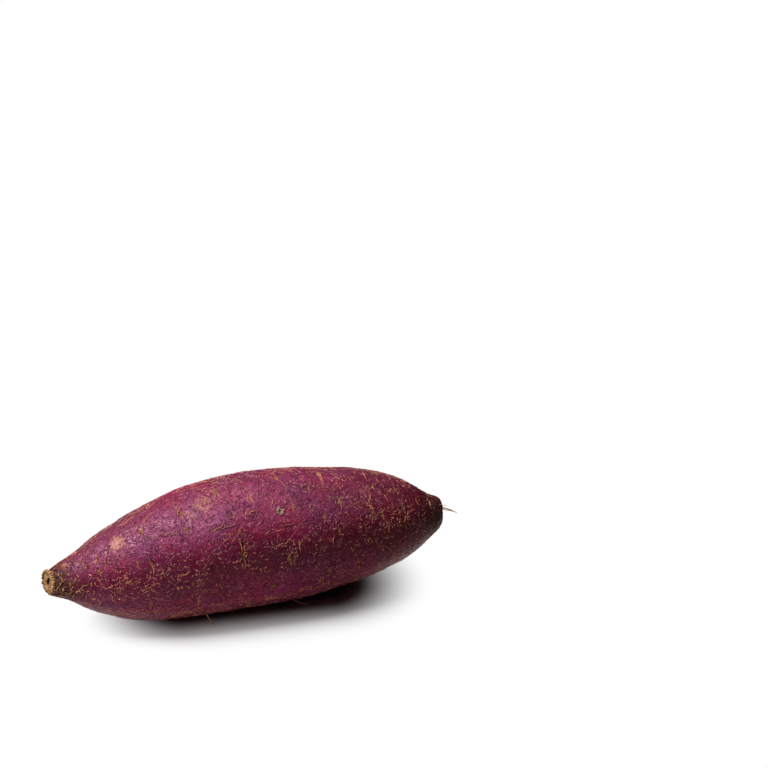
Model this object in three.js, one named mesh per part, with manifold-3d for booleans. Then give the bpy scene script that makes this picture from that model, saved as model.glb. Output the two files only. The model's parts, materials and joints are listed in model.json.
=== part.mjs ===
// Purple yam: one whole storage root, lying on its side on a flat surface.
// Millimetres, +Z up. The long axis runs along X, with the stalk end at -X and the root tip at +X.
// The origin is on the surface, under the middle of the yam's box.

import * as THREE from 'three';
import { mergeVertices } from 'three/addons/utils/BufferGeometryUtils.js';
import Module from 'manifold-3d';

// Driving dimensions
const LENGTH = 229; // stalk scar to root tip
const GIRTH_RADIUS = 37.6; // at the fattest place
const FOOT_DEPTH = 0.45; // how far the belly is pressed flat where it lies

// The yam's run from the scar to the tip. `along` is a share of LENGTH and `radius` a share of
// GIRTH_RADIUS; `rise` and `bend` shift the axis up and sideways, in millimetres.
const STATIONS = [
  { along: 0.0, radius: 0.165, rise: -4.6, bend: -3.4 },
  { along: 0.036, radius: 0.274, rise: -6.0, bend: -2.5 },
  { along: 0.075, radius: 0.406, rise: -7.0, bend: -1.7 },
  { along: 0.12, radius: 0.562, rise: -7.3, bend: -1.0 },
  { along: 0.19, radius: 0.744, rise: -7.2, bend: -0.3 },
  { along: 0.3, radius: 0.92, rise: -3.9, bend: 0 },
  { along: 0.43, radius: 1.0, rise: -0.3, bend: 0.4 },
  { along: 0.57, radius: 1.005, rise: -0.3, bend: 0.6 },
  { along: 0.7, radius: 0.93, rise: -1.2, bend: 0.3 },
  { along: 0.82, radius: 0.78, rise: -1.0, bend: -0.6 },
  { along: 0.91, radius: 0.57, rise: -1.6, bend: -1.8 },
  { along: 0.955, radius: 0.375, rise: -2.2, bend: -2.5 },
  { along: 0.988, radius: 0.215, rise: -2.7, bend: -3.0 },
];

const LAST = STATIONS[STATIONS.length - 1];

// Root tip: a blunt round end past the last station
const TIP_LENGTH = (1 - LAST.along) * LENGTH;
const TIP_RINGS = 5;

// Stalk scar: a small oblique cut with a bevelled rim, a shallow dish and a pit in the middle.
// `radius` is a share of the scar's own radius; `inward` is how far the face is sunk, in millimetres.
const SCAR_FACING = new THREE.Vector3(-0.96, -0.26, 0.1).normalize();
const SCAR_BLEND = 0.07; // share of LENGTH over which the cross-sections turn to face the cut
const SCAR_RINGS = [
  { radius: 0.2, inward: 2.0 },
  { radius: 0.27, inward: 0.6 },
  { radius: 0.5, inward: 0.5 },
  { radius: 0.72, inward: 0.15 },
  { radius: 0.9, inward: -0.35 },
];
const PIT_DEPTH = 2.3;

// Swellings that keep the belly from being perfectly round. Each is a wave round the yam and along
// it: `size` is a share of the radius, `round` and `turns` count waves, `phase` is in radians.
const SWELLINGS = [
  { size: 0.016, round: 2, turns: -0.25, phase: 0.8 },
  { size: 0.01, round: 3, turns: -0.8, phase: 2.1 },
  { size: 0.005, round: 1, turns: 2.6, phase: 6.0 },
  { size: 0.004, round: 5, turns: 1.3, phase: 1.2 },
];

// Facets
const RINGS = 42;
const SIDES = 64;
const END_CROWDING = 0.45; // 0 spaces the rings evenly, towards 1 crowds them into both ends

const UP = new THREE.Vector3(0, 0, 1);
const AHEAD = new THREE.Vector3(1, 0, 0);

// A smooth run through the stations, read at any share of the length
const run = new THREE.CubicInterpolant(
  STATIONS.map((s) => s.along),
  STATIONS.flatMap((s) => [s.radius * GIRTH_RADIUS, s.bend, s.rise]),
  3,
);

// The middle and the radius of the root at a share of its length
function sectionAt(along) {
  const [radius, bend, rise] = run.evaluate(along);
  return { along, radius, centre: new THREE.Vector3(along * LENGTH, bend, rise) };
}

// Which way the axis runs at a share of the length, eased halfway back to straight ahead
function headingAt(along) {
  const step = 0.01;
  const before = sectionAt(Math.max(0, along - step)).centre;
  const after = sectionAt(Math.min(LAST.along, along + step)).centre;
  return after.sub(before).normalize().lerp(AHEAD, 0.5).normalize();
}

// The radius factor of the swellings, fading out at both narrow ends
function swelling(angle, along) {
  const growing = THREE.MathUtils.smoothstep(along, 0.02, 0.2);
  const fade = growing * (1 - THREE.MathUtils.smoothstep(along, 0.9, 1));
  let sum = 0;
  for (const wave of SWELLINGS) {
    const phase = wave.phase + 2 * Math.PI * wave.turns * along;
    sum += wave.size * Math.cos(wave.round * angle + phase);
  }
  return 1 + fade * sum;
}

// One cross-section: points round `centre` in the plane that `ahead` is square to
function ring(centre, ahead, radius, along) {
  const side = new THREE.Vector3().crossVectors(UP, ahead).normalize();
  const top = new THREE.Vector3().crossVectors(ahead, side);
  const points = [];
  for (let i = 0; i < SIDES; i += 1) {
    const angle = (2 * Math.PI * i) / SIDES;
    const reach = radius * swelling(angle, along);
    const point = centre.clone();
    point.addScaledVector(side, reach * Math.cos(angle));
    point.addScaledVector(top, reach * Math.sin(angle));
    points.push(point);
  }
  return points;
}

// Rings over the cut face, from the edge of the pit's floor out to the rim
function scarRings() {
  const { centre, radius } = sectionAt(0);
  const ahead = SCAR_FACING.clone().negate();
  return SCAR_RINGS.map((step) => {
    const place = centre.clone().addScaledVector(ahead, step.inward);
    return ring(place, ahead, radius * step.radius, 0);
  });
}

// Rings along the body, closer together towards the neck and the tip
function bodyRings() {
  const rings = [];
  for (let i = 0; i < RINGS; i += 1) {
    const share = i / (RINGS - 1);
    const eased = share - (END_CROWDING * Math.sin(2 * Math.PI * share)) / (2 * Math.PI);
    const { along, radius, centre } = sectionAt(eased * LAST.along);
    const turn = 1 - THREE.MathUtils.smoothstep(along, 0, SCAR_BLEND);
    const ahead = headingAt(along).lerp(SCAR_FACING.clone().negate(), turn).normalize();
    rings.push(ring(centre, ahead, radius, along));
  }
  return rings;
}

// Rings over the blunt root tip: a quarter of an ellipse from the last body ring to the pole
function tipRings() {
  const { centre, radius } = sectionAt(LAST.along);
  const ahead = headingAt(LAST.along);
  const rings = [];
  for (let i = 1; i < TIP_RINGS; i += 1) {
    const angle = (Math.PI / 2) * (i / TIP_RINGS);
    const place = centre.clone().addScaledVector(ahead, TIP_LENGTH * Math.sin(angle));
    rings.push(ring(place, ahead, radius * Math.cos(angle), 1));
  }
  return rings;
}

// A closed skin over the rings, with one point at each end
function loftedGeometry(rings, startPole, endPole) {
  const positions = [];
  for (const point of [startPole, ...rings.flat(), endPole]) {
    positions.push(point.x, point.y, point.z);
  }
  const at = (row, column) => 1 + row * SIDES + (column % SIDES);
  const endIndex = 1 + rings.length * SIDES;
  const lastRow = rings.length - 1;
  const triangles = [];
  for (let i = 0; i < SIDES; i += 1) {
    triangles.push(0, at(0, i + 1), at(0, i));
    triangles.push(endIndex, at(lastRow, i), at(lastRow, i + 1));
    for (let row = 0; row < lastRow; row += 1) {
      triangles.push(at(row, i), at(row, i + 1), at(row + 1, i + 1));
      triangles.push(at(row, i), at(row + 1, i + 1), at(row + 1, i));
    }
  }
  const geometry = new THREE.BufferGeometry();
  geometry.setAttribute('position', new THREE.Float32BufferAttribute(positions, 3));
  geometry.setIndex(triangles);
  return geometry;
}

// Cut `tool` away from `body`
function cutAway(body, tool) {
  const solids = [body, tool].map((geometry) => {
    const plain = geometry.clone();
    plain.deleteAttribute('normal');
    plain.deleteAttribute('uv');
    const merged = mergeVertices(plain);
    const vertProperties = new Float32Array(merged.attributes.position.array);
    const triVerts = new Uint32Array(merged.index.array);
    return new wasm.Manifold(new wasm.Mesh({ numProp: 3, vertProperties, triVerts }));
  });
  const cut = solids[0].subtract(solids[1]).getMesh();
  const result = new THREE.BufferGeometry();
  result.setAttribute('position', new THREE.BufferAttribute(cut.vertProperties, 3));
  result.setIndex(new THREE.BufferAttribute(cut.triVerts, 1));
  result.computeVertexNormals();
  return result;
}

// The whole root, set down with its box centred over the origin and its belly pressed flat at z = 0
function tuberGeometry() {
  const pitFloor = sectionAt(0).centre.addScaledVector(SCAR_FACING, -PIT_DEPTH);
  const tipEnd = sectionAt(LAST.along).centre.addScaledVector(headingAt(LAST.along), TIP_LENGTH);
  const root = loftedGeometry([...scarRings(), ...bodyRings(), ...tipRings()], pitFloor, tipEnd);

  root.computeBoundingBox();
  const box = root.boundingBox;
  const middle = box.getCenter(new THREE.Vector3());
  root.translate(-middle.x, -middle.y, -box.min.z - FOOT_DEPTH);

  const ground = new THREE.BoxGeometry(2 * LENGTH, 2 * LENGTH, LENGTH);
  ground.translate(0, 0, -LENGTH / 2);
  return cutAway(root, ground);
}

const wasm = await Module();
wasm.setup();

const skin = new THREE.MeshStandardMaterial({
  name: 'skin',
  color: new THREE.Color(0x6b2a52),
  roughness: 0.5,
  metalness: 0,
});

const tuber = new THREE.Mesh(tuberGeometry(), skin);
tuber.name = 'tuber';

const yam = new THREE.Group();
yam.name = 'purple_yam';
yam.add(tuber);

export default yam;
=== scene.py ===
# %% [markdown]
# # A purple yam, from its form to its last hair root
# A yam is one grown body, so the whole lesson is about skin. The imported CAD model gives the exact
# form and the place it lies. Everything here is laid over that form: a fine skin, the root eyes,
# the corky stalk scar, the curls of scurf and a few hair roots.

# %% Load the frame
import json
import math
import random

import bpy
import numpy as np
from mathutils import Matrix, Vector, noise
from mathutils.bvhtree import BVHTree

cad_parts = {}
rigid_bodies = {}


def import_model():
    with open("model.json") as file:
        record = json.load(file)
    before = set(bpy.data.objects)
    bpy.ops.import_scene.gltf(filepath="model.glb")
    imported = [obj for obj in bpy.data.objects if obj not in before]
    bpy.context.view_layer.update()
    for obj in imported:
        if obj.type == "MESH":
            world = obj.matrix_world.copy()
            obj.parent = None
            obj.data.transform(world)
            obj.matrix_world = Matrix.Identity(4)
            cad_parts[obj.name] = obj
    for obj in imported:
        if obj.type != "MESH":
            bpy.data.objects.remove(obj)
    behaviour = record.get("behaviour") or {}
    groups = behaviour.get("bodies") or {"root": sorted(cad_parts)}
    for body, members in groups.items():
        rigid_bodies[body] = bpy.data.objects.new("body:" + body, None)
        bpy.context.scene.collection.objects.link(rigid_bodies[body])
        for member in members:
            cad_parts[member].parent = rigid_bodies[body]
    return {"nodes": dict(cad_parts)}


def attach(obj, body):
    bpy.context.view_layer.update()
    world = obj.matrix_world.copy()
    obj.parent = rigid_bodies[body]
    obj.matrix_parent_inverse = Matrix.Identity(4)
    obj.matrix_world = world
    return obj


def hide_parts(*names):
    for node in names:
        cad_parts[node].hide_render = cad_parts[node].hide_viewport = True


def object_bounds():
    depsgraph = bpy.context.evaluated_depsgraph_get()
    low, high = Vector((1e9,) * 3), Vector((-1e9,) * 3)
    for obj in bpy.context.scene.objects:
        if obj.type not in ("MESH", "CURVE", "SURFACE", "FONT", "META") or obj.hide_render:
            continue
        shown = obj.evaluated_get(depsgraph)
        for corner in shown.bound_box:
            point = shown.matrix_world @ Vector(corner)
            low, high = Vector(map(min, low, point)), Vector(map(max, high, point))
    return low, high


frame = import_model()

MM = 0.001
for start_object in [o for o in bpy.data.objects if o.name in ("Cube", "Light", "Camera")]:
    bpy.data.objects.remove(start_object)
cad_box = [list(corner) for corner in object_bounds()]
box_low, box_high = (np.array(corner) for corner in cad_box)
box_size = (box_high - box_low) / MM
print("CAD box, mm:", box_size.round(1))

# %% [markdown]
# ## Camera
# The yam is seen from a little above, with its stalk end turned towards the viewer. A long lens
# keeps the near end from swelling. The camera is given as a bearing and a height round a point on
# the floor behind the yam, so that the yam lies low and to the left in the picture.

# %% Place the camera and set the plain view transform
bpy.context.scene.view_settings.view_transform = "Standard"

VIEW_AZIMUTH = math.radians(-16.7)
VIEW_ELEVATION = math.radians(30.0)
VIEW_DISTANCE = 1.689
AIM = Vector((0.1435, 0.206, 0.0))
LENS = 121.8

camera_data = bpy.data.cameras.new("camera")
camera_data.lens = LENS
camera_data.sensor_width = 36.0
camera_data.clip_end = 20.0
camera = bpy.data.objects.new("camera", camera_data)
bpy.context.scene.collection.objects.link(camera)
bpy.context.scene.camera = camera

back_from_aim = Vector((
    math.sin(VIEW_AZIMUTH) * math.cos(VIEW_ELEVATION),
    -math.cos(VIEW_AZIMUTH) * math.cos(VIEW_ELEVATION),
    math.sin(VIEW_ELEVATION),
))
camera.location = AIM + VIEW_DISTANCE * back_from_aim
camera.rotation_euler = (-back_from_aim).to_track_quat("-Z", "Y").to_euler()
print("camera at", tuple(round(c, 3) for c in camera.location))

# %% [markdown]
# ## Light and floor
# The light of a white table under a large soft box: nearly all of it falls from above, from behind
# and from the left, and the pale floor sends some back up. A dark card stands in front, as a
# photographer would place one, so that the glossy skin has something deep to reflect: it gives the
# belly a rich dark band between the light from above and the light from the floor. Three smaller
# cards are there for the reflections only. The floor and the world look white to the camera and in
# reflections only, so no extra light reaches the yam.

# %% Hang the soft box
def area_lamp(name, place, target, width, depth, power):
    data = bpy.data.lights.new(name, "AREA")
    data.shape = "RECTANGLE"
    data.size = width
    data.size_y = depth
    data.energy = power
    lamp = bpy.data.objects.new(name, data)
    bpy.context.scene.collection.objects.link(lamp)
    lamp.location = place
    lamp.rotation_euler = (Vector(target) - Vector(place)).to_track_quat("-Z", "Y").to_euler()
    return lamp


YAM_MIDDLE = (0.0, 0.0, 0.04)
area_lamp("overhead_box", (-0.52, 0.15, 1.05), YAM_MIDDLE, 0.58, 0.46, 18.7)


# %% Short ways to add shader nodes
def add(tree, kind, inputs=None, **settings):
    """A node of `kind`, with its settings, and each input either set to a value or linked."""
    node = tree.nodes.new("ShaderNode" + kind)
    for name, value in settings.items():
        setattr(node, name, value)
    for key, value in (inputs or {}).items():
        if isinstance(value, bpy.types.NodeSocket):
            tree.links.new(value, node.inputs[key])
        else:
            node.inputs[key].default_value = value
    return node


def calc(tree, operation, *values):
    return add(tree, "Math", dict(enumerate(values)), operation=operation).outputs[0]


def times(tree, first, *others):
    """The product of all the values."""
    for other in others:
        first = calc(tree, "MULTIPLY", first, other)
    return first


def most(tree, first, *others):
    """The largest of the values."""
    for other in others:
        first = calc(tree, "MAXIMUM", first, other)
    return first


def fade(tree, value, low, high, start=0.0):
    """`start` at `low`, 1 at `high`, and smooth between, whichever of the two is larger."""
    inputs = {"Value": value, "From Min": low, "From Max": high, "To Min": start}
    return add(tree, "MapRange", inputs, interpolation_type="SMOOTHSTEP").outputs["Result"]


def seen_directly(tree):
    """1 for rays from the camera, from glossy surfaces and through clear ones, 0 for light."""
    rays = add(tree, "LightPath").outputs
    return most(tree, rays["Is Camera Ray"], rays["Is Glossy Ray"], rays["Is Transmission Ray"])


# %% White world to look at, dim light for the yam
WORLD_LIGHT = 0.015

world = bpy.data.worlds.new("studio")
bpy.context.scene.world = world
world.use_nodes = True
world_tree = world.node_tree
background = world_tree.nodes["Background"]
background.inputs["Color"].default_value = (1.0, 1.0, 1.0, 1.0)
world_seen = seen_directly(world_tree)
world_strength = add(world_tree, "MapRange", {"Value": world_seen, "To Min": WORLD_LIGHT, "To Max": 1.0})
world_tree.links.new(world_strength.outputs["Result"], background.inputs["Strength"])

# %% Make a flat staged card
def flat_card(name, corners):
    """One four-sided face that belongs to the studio and not to the yam."""
    mesh = bpy.data.meshes.new(name)
    mesh.from_pydata(corners, [], [(0, 1, 2, 3)])
    card = bpy.data.objects.new(name, mesh)
    bpy.context.scene.collection.objects.link(card)
    paint = bpy.data.materials.new(name + "_paint")
    paint.use_nodes = True
    mesh.materials.append(paint)
    shader = paint.node_tree.nodes["Principled BSDF"]
    shader.inputs["Roughness"].default_value = 0.9
    shader.inputs["Specular IOR Level"].default_value = 0.0
    return card, paint.node_tree, shader


# %% Stand a dark card in front, a brown one behind, a small one past the tip, and lay one in front
CARDS = [
    # name, the two ends of its foot, the way from foot to top, colour, whether it also takes light away
    ("dark_card", (-0.5, -0.24), (0.5, -0.24), (0, 0, 0.42), (0.012, 0.01, 0.01, 1.0), True),
    ("brown_card", (-0.5, 0.2), (0.5, 0.2), (0, 0, 0.26), (0.17, 0.11, 0.085, 1.0), False),
    ("side_card", (0.165, -0.14), (0.165, 0.14), (0, 0, 0.16), (0.05, 0.026, 0.022, 1.0), False),
    ("near_card", (-0.3, -0.24), (0.3, -0.24), (0, 0.21, 0.001), (0.3, 0.22, 0.23, 1.0), False),
]

for name, (foot_x, foot_y), (end_x, end_y), (over_x, over_y, over_z), card_colour, takes_light in CARDS:
    card, _, card_shader = flat_card(name, [
        (foot_x, foot_y, 0.0), (end_x, end_y, 0.0), (end_x + over_x, end_y + over_y, over_z),
        (foot_x + over_x, foot_y + over_y, over_z),
    ])
    card_shader.inputs["Base Color"].default_value = card_colour
    card.visible_camera = False
    card.visible_diffuse = takes_light
    card.visible_shadow = takes_light

# %% Lay the floor
HALF_FLOOR = 6.0
FLOOR_DROP = 0.00005
FLOOR_SEEN = 0.95
FLOOR_LIT = 0.78

SQUARE = ((-1, -1), (1, -1), (1, 1), (-1, 1))
floor_corners = [(x * HALF_FLOOR, y * HALF_FLOOR, -FLOOR_DROP) for x, y in SQUARE]
_, floor_tree, floor_shader = flat_card("floor", floor_corners)
floor_seen = seen_directly(floor_tree)
floor_value = add(floor_tree, "MapRange", {"Value": floor_seen, "To Min": FLOOR_LIT, "To Max": FLOOR_SEEN})

# %% Let the floor fade into the white background a little way from the yam, with a shadow painted next to the belly
BELLY_FROM = -0.036
BELLY_TO = 0.045
SHADOW_KEPT = 0.019
SHADOW_GONE = 0.062
BELLY_SLANT = -0.08
PAINTED_SHADOW_FULL = 0.010
PAINTED_SHADOW_GONE = 0.028
PAINTED_SHADOW_KEEPS = 0.25

floor_spot = add(floor_tree, "TexCoord").outputs["Object"]
floor_x, floor_y, _ = add(floor_tree, "SeparateXYZ", {0: floor_spot}).outputs
floor_place = add(floor_tree, "CombineXYZ", {"X": floor_x, "Y": floor_y}).outputs[0]
nearest_x = add(floor_tree, "Clamp", {"Value": floor_x, "Min": BELLY_FROM, "Max": BELLY_TO}).outputs[0]
nearest_y = times(floor_tree, nearest_x, BELLY_SLANT)
belly_place = add(floor_tree, "CombineXYZ", {"X": nearest_x, "Y": nearest_y}).outputs[0]
two_places = {0: floor_place, 1: belly_place}
from_belly = add(floor_tree, "VectorMath", two_places, operation="DISTANCE").outputs["Value"]
# Painted shadow: close to the belly the floor's colour is darkened, down to a quarter at the contact.
floor_painted_shadow = fade(floor_tree, from_belly, PAINTED_SHADOW_FULL, PAINTED_SHADOW_GONE, start=PAINTED_SHADOW_KEEPS)
floor_colour = times(floor_tree, floor_value.outputs["Result"], floor_painted_shadow)
floor_tree.links.new(floor_colour, floor_shader.inputs["Base Color"])
white_share = times(floor_tree, fade(floor_tree, from_belly, SHADOW_KEPT, SHADOW_GONE), floor_seen)
floor_white = add(floor_tree, "Emission", {"Color": (1.0, 1.0, 1.0, 1.0), "Strength": 1.0})
floor_shaders = {0: white_share, 1: floor_shader.outputs[0], 2: floor_white.outputs[0]}
floor_mix = add(floor_tree, "MixShader", floor_shaders)
floor_tree.links.new(floor_mix.outputs[0], floor_tree.nodes["Material Output"].inputs["Surface"])

# %% [markdown]
# ## The form under the skin
# The CAD solid is right in size but plain. Displacing its own mesh would move a CAD part, so the
# skin is a new net of points cast onto it: rings of rays run in from outside towards an axis inside
# the root, and each ray stops on the solid. The rings give rows and columns, which makes it easy to
# lay patterns in millimetres along and round the root. All of this is worked out in millimetres.

# %% Read the solid
tuber = frame["nodes"]["tuber"]
solid_points = np.array([v.co for v in tuber.data.vertices]) / MM
solid_faces = [tuple(p.vertices) for p in tuber.data.polygons]
solid = BVHTree.FromPolygons([Vector(p) for p in solid_points], solid_faces)

NECK_REACH = 4.0
CUT_SLANT = 0.7
cut_faces = [
    p for p in tuber.data.polygons
    if p.normal.x < -CUT_SLANT and p.center.x / MM < solid_points[:, 0].min() + NECK_REACH
]
cut_area = sum(p.area for p in cut_faces)
scar_centre = np.array(sum((p.center * p.area for p in cut_faces), Vector()) / cut_area) / MM
scar_facing = np.array(sum((p.normal * p.area for p in cut_faces), Vector()).normalized())
cut_corners = np.array([solid_points[i] for p in cut_faces for i in p.vertices])
from_centre = cut_corners - scar_centre
from_centre -= np.outer(from_centre @ scar_facing, scar_facing)
scar_radius = np.linalg.norm(from_centre, axis=1).max()
tip_point = solid_points[solid_points[:, 0].argmax()]
print("scar centre", scar_centre.round(1), "facing", scar_facing.round(2), "radius", round(scar_radius, 1))
print("tip", tip_point.round(1))

# %% Cast rays at it, alone and in rings
RAY_REACH = 200.0
RING_START = 60.0


def hit(origin, direction):
    place, *_ = solid.ray_cast(Vector(origin), Vector(direction), RAY_REACH)
    return np.array(place) if place is not None else np.array(origin)


def cross_axes(ahead):
    """Sideways and upwards, square to `ahead`."""
    side = np.cross((0.0, 0.0, 1.0), ahead)
    side /= np.linalg.norm(side)
    return side, np.cross(ahead, side)


def angles_round(count):
    """Even angles round the root. The first points down, so the seam of the skin is under the yam."""
    return -math.pi / 2 + 2 * math.pi * np.arange(count) / count


def circle(ahead, count):
    side, top = cross_axes(ahead)
    return [side * math.cos(a) + top * math.sin(a) for a in angles_round(count)]


def ring_hits(centre, ahead, count):
    """Points on the solid round `centre`, in the plane that `ahead` is square to."""
    return np.array([hit(centre + ray * RING_START, -ray) for ray in circle(ahead, count)])


# %% Find the axis by averaging rings of hits
AXIS_STATIONS = 60
END_MARGIN = 5.0
AXIS_PASSES = 3
AXIS_SIDES = 32
straight_ahead = np.array((1.0, 0.0, 0.0))
station_x = np.linspace(scar_centre[0] + END_MARGIN, tip_point[0] - END_MARGIN, AXIS_STATIONS)
station_share = (station_x - scar_centre[0]) / (tip_point[0] - scar_centre[0])
station_centres = scar_centre + np.outer(station_share, tip_point - scar_centre)
for _ in range(AXIS_PASSES):
    rings = np.array([ring_hits(c, straight_ahead, AXIS_SIDES) for c in station_centres])
    station_centres = rings.mean(axis=1)
station_radius = np.linalg.norm(rings - station_centres[:, None], axis=2).mean(axis=1)
print("girth radius, mm:", station_radius.max().round(1))


def along_axis(x):
    """The middle of the root where its axis passes x."""
    sideways, upwards = (np.interp(x, station_x, station_centres[:, axis]) for axis in (1, 2))
    return np.array([x, sideways, upwards])


# %% [markdown]
# ## The skin net
# Three stretches of rows share the same columns: rings over the cut face, rings round the body, and
# a fan over the blunt tip. The rows are set at equal distances over the surface and not along the
# axis, so that the squares stay even where the neck flares.

# %% Space the rows
COLUMNS = 264
ROW_GAP = 0.72
SCAR_ROWS = 4
NECK_ROWS = 7
TIP_ROWS = 12
TIP_REACH = 6.0
TURN_REACH = 16.0
SCAR_SINK = 0.5

slope = np.gradient(station_radius, station_x)
step_slope = (slope[1:] + slope[:-1]) / 2
step_run = np.sqrt(1 + step_slope ** 2) * np.diff(station_x)
surface_run = np.concatenate([[0.0], np.cumsum(step_run)])
body_x = np.interp(np.arange(0, surface_run[-1], ROW_GAP), surface_run, station_x)
print("body rows", len(body_x))


# %% Cast the three stretches
def smoothstep(edge0, edge1, value):
    t = np.clip((value - edge0) / (edge1 - edge0), 0.0, 1.0)
    return t * t * (3 - 2 * t)


def mix(start, end, share):
    return start * (1 - share) + end * share


def heading(x):
    """Which way the rows face: like the cut at the scar, then straight along the root."""
    turn = 1 - smoothstep(scar_centre[0], scar_centre[0] + TURN_REACH, x)
    ahead = mix(straight_ahead, -scar_facing, turn)
    return ahead / np.linalg.norm(ahead)


def scar_row(radius):
    """A ring on the cut face, as if the face were flat and a little sunk."""
    sunk_centre = scar_centre - SCAR_SINK * scar_facing
    return np.array([sunk_centre + radius * ray for ray in circle(-scar_facing, COLUMNS)])


def tip_row(tilt):
    """A ring of rays fanned forward by `tilt`, from 0 for square to the axis to 90 degrees."""
    origin = along_axis(tip_point[0] - TIP_REACH)
    ahead, outwards = math.sin(tilt), math.cos(tilt)
    rays = [(ahead, outwards * math.cos(a), outwards * math.sin(a)) for a in angles_round(COLUMNS)]
    return np.array([hit(origin, ray) for ray in rays])


neck_end = along_axis(body_x[0])
rows = []
for radius in np.linspace(0.2, 0.92, SCAR_ROWS) * scar_radius:
    rows.append(scar_row(radius))
for i in range(1, NECK_ROWS + 1):
    centre = scar_centre + (neck_end - scar_centre) * (i / (NECK_ROWS + 1))
    rows.append(ring_hits(centre, heading(centre[0]), COLUMNS))
for x in body_x[body_x < tip_point[0] - TIP_REACH]:
    rows.append(ring_hits(along_axis(x), heading(x), COLUMNS))
for tilt in np.linspace(4, 86, TIP_ROWS):
    rows.append(tip_row(math.radians(tilt)))
net = np.array(rows)
ROW_COUNT = len(net)
print("net", ROW_COUNT, "rows by", COLUMNS, "columns, about", 2 * ROW_COUNT * COLUMNS, "triangles")

# %% [markdown]
# ## Smooth the facets away
# The solid is made of flat facets a few millimetres across. Averaging each point with its
# neighbours, round and along, takes the facets out and moves the surface by a small part of a
# millimetre. The cut face and its rim are left alone, because they are meant to be crisp.

# %% Average with the neighbours
SMOOTH_PASSES = 22
RIM_KEEP = 5

row_number = np.arange(ROW_COUNT)
keep_crisp = 1 - smoothstep(SCAR_ROWS, SCAR_ROWS + RIM_KEEP, row_number)[:, None, None]
cast_net = net.copy()
for _ in range(SMOOTH_PASSES):
    round_mean = (np.roll(net, 1, axis=1) + np.roll(net, -1, axis=1)) / 2
    net = (net + round_mean) / 2
    along_mean = net.copy()
    along_mean[1:-1] = (net[2:] + net[:-2]) / 2
    net = (net + along_mean) / 2
    net = mix(net, cast_net, keep_crisp)
print("largest move, mm:", np.linalg.norm(net - cast_net, axis=2).max().round(2))

# %% Measure the skin: distance along, girth, share of the length, clock angle
row_centre = net.mean(axis=1)
row_radius = np.linalg.norm(net - row_centre[:, None], axis=2).mean(axis=1)
row_girth = 2 * math.pi * row_radius
row_step = np.linalg.norm(np.diff(net, axis=0), axis=2).mean(axis=1)
along_mm = np.concatenate([[0.0], np.cumsum(row_step)])
row_share = (row_centre[:, 0] - box_low[0] / MM) / box_size[0]
column_clock = (np.arange(COLUMNS) / COLUMNS * 360 + 360) % 360 - 180
print("over the surface from scar to tip, mm:", along_mm[-1].round(0))


def place_on(share, clock):
    """Distance along in mm and share of a turn, for a share of the length and a clock angle.
    The clock angle is 0 on top, 90 towards the viewer and 180 or -180 underneath."""
    return np.interp(share, row_share[SCAR_ROWS:], along_mm[SCAR_ROWS:]), (180.0 + clock) / 360.0 % 1.0


def net_normals(points):
    """Outward normals from the slopes along and round the net."""
    round_slope = np.roll(points, -1, axis=1) - np.roll(points, 1, axis=1)
    along_slope = np.gradient(points, axis=0)
    square = np.cross(round_slope, along_slope)
    return square / np.maximum(np.linalg.norm(square, axis=2, keepdims=True), 1e-9)


normals = net_normals(net)
outward = ((net - row_centre[:, None]) * normals).sum(axis=2)[60:-60].mean()
print("normals point out:", outward > 0)

# %% [markdown]
# ## Relief
# A root that has grown in soil is never smooth: broad swellings, a faint ripple across it, leathery
# wrinkles, lengthwise folds where the neck and the tip dried, and a dimple with a crosswise crease
# at each root eye. Each is a field of heights in millimetres over the net. The fields are added up
# and the net is moved out along its normals once, so the visible shape is real geometry and only
# the grain finer than the net is left to the material.

# %% Noise fields over the net
def noise_field(points, size, place):
    """Smooth noise from -1 to 1 whose waves are `size` millimetres long, per axis or alike."""
    scaled = points.reshape(-1, 3) / np.asarray(size) + place
    return np.array([noise.noise(Vector(p)) for p in scaled]).reshape(points.shape[:-1])


def ridge_field(points, size, place, width):
    """Thin winding ridges, 1 on the crest, where a noise field passes through zero."""
    return np.clip(1 - np.abs(noise_field(points, size, place)) / width, 0, 1)


def waves(layers):
    """Noise fields added up, each with a height and a size in millimetres and a place of its own."""
    return sum(height * noise_field(net, size, place) for height, size, place in layers)


def fade_along(low, high):
    """A field that is 0 up to one share of the length and 1 from the other on."""
    return smoothstep(low, high, row_share)[:, None] * np.ones((1, COLUMNS))


def bell(distance, width):
    return np.exp(-((distance / width) ** 2))


neck = 1 - fade_along(0.0, 0.12)
tip = fade_along(0.9, 1.0)
tip_side = fade_along(0.5, 0.95) * (1 - 0.5 * bell(column_clock + 22, 25))[None, :]
body = fade_along(0.02, 0.1)

SWELLINGS = [(0.6, 30.0, 3.1), (0.42, 13.0, 8.7), (0.16, 7.0, 12.3)]
RIPPLES = [(0.09, (4.5, 9.0, 9.0), 15.2), (0.06, 4.0, 21.4)]
FOLDS = [(0.5, (16.0, 2.6, 2.6), 51.0), (0.22, (6.0, 1.4, 1.4), 57.5)]
LUMPS = [(0.22, 1.5, 63.0)]
CROSSWISE_HEIGHT = 0.12
LEATHER_HEIGHT = 0.13

broken = smoothstep(-0.1, 0.35, noise_field(net, 16.0, 29.0))
crosswise = ridge_field(net, (2.8, 11.0, 11.0), 26.0, 0.3) * broken
leather = ridge_field(net, (3.4, 2.8, 2.8), 31.8, 0.25)
leather += 0.8 * ridge_field(net, (2.6, 3.8, 3.8), 44.3, 0.25)
folded_below = 0.35 * smoothstep(90, 130, np.abs(column_clock))[None, :] * body
folded = np.maximum(np.maximum(neck, 0.5 * tip), folded_below)
wrinkled = CROSSWISE_HEIGHT * crosswise + LEATHER_HEIGHT * leather
relief = body * (waves(SWELLINGS) + waves(RIPPLES) + wrinkled)
relief += waves(FOLDS) * folded + waves(LUMPS) * np.maximum(neck ** 2, 0.4 * tip)

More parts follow.
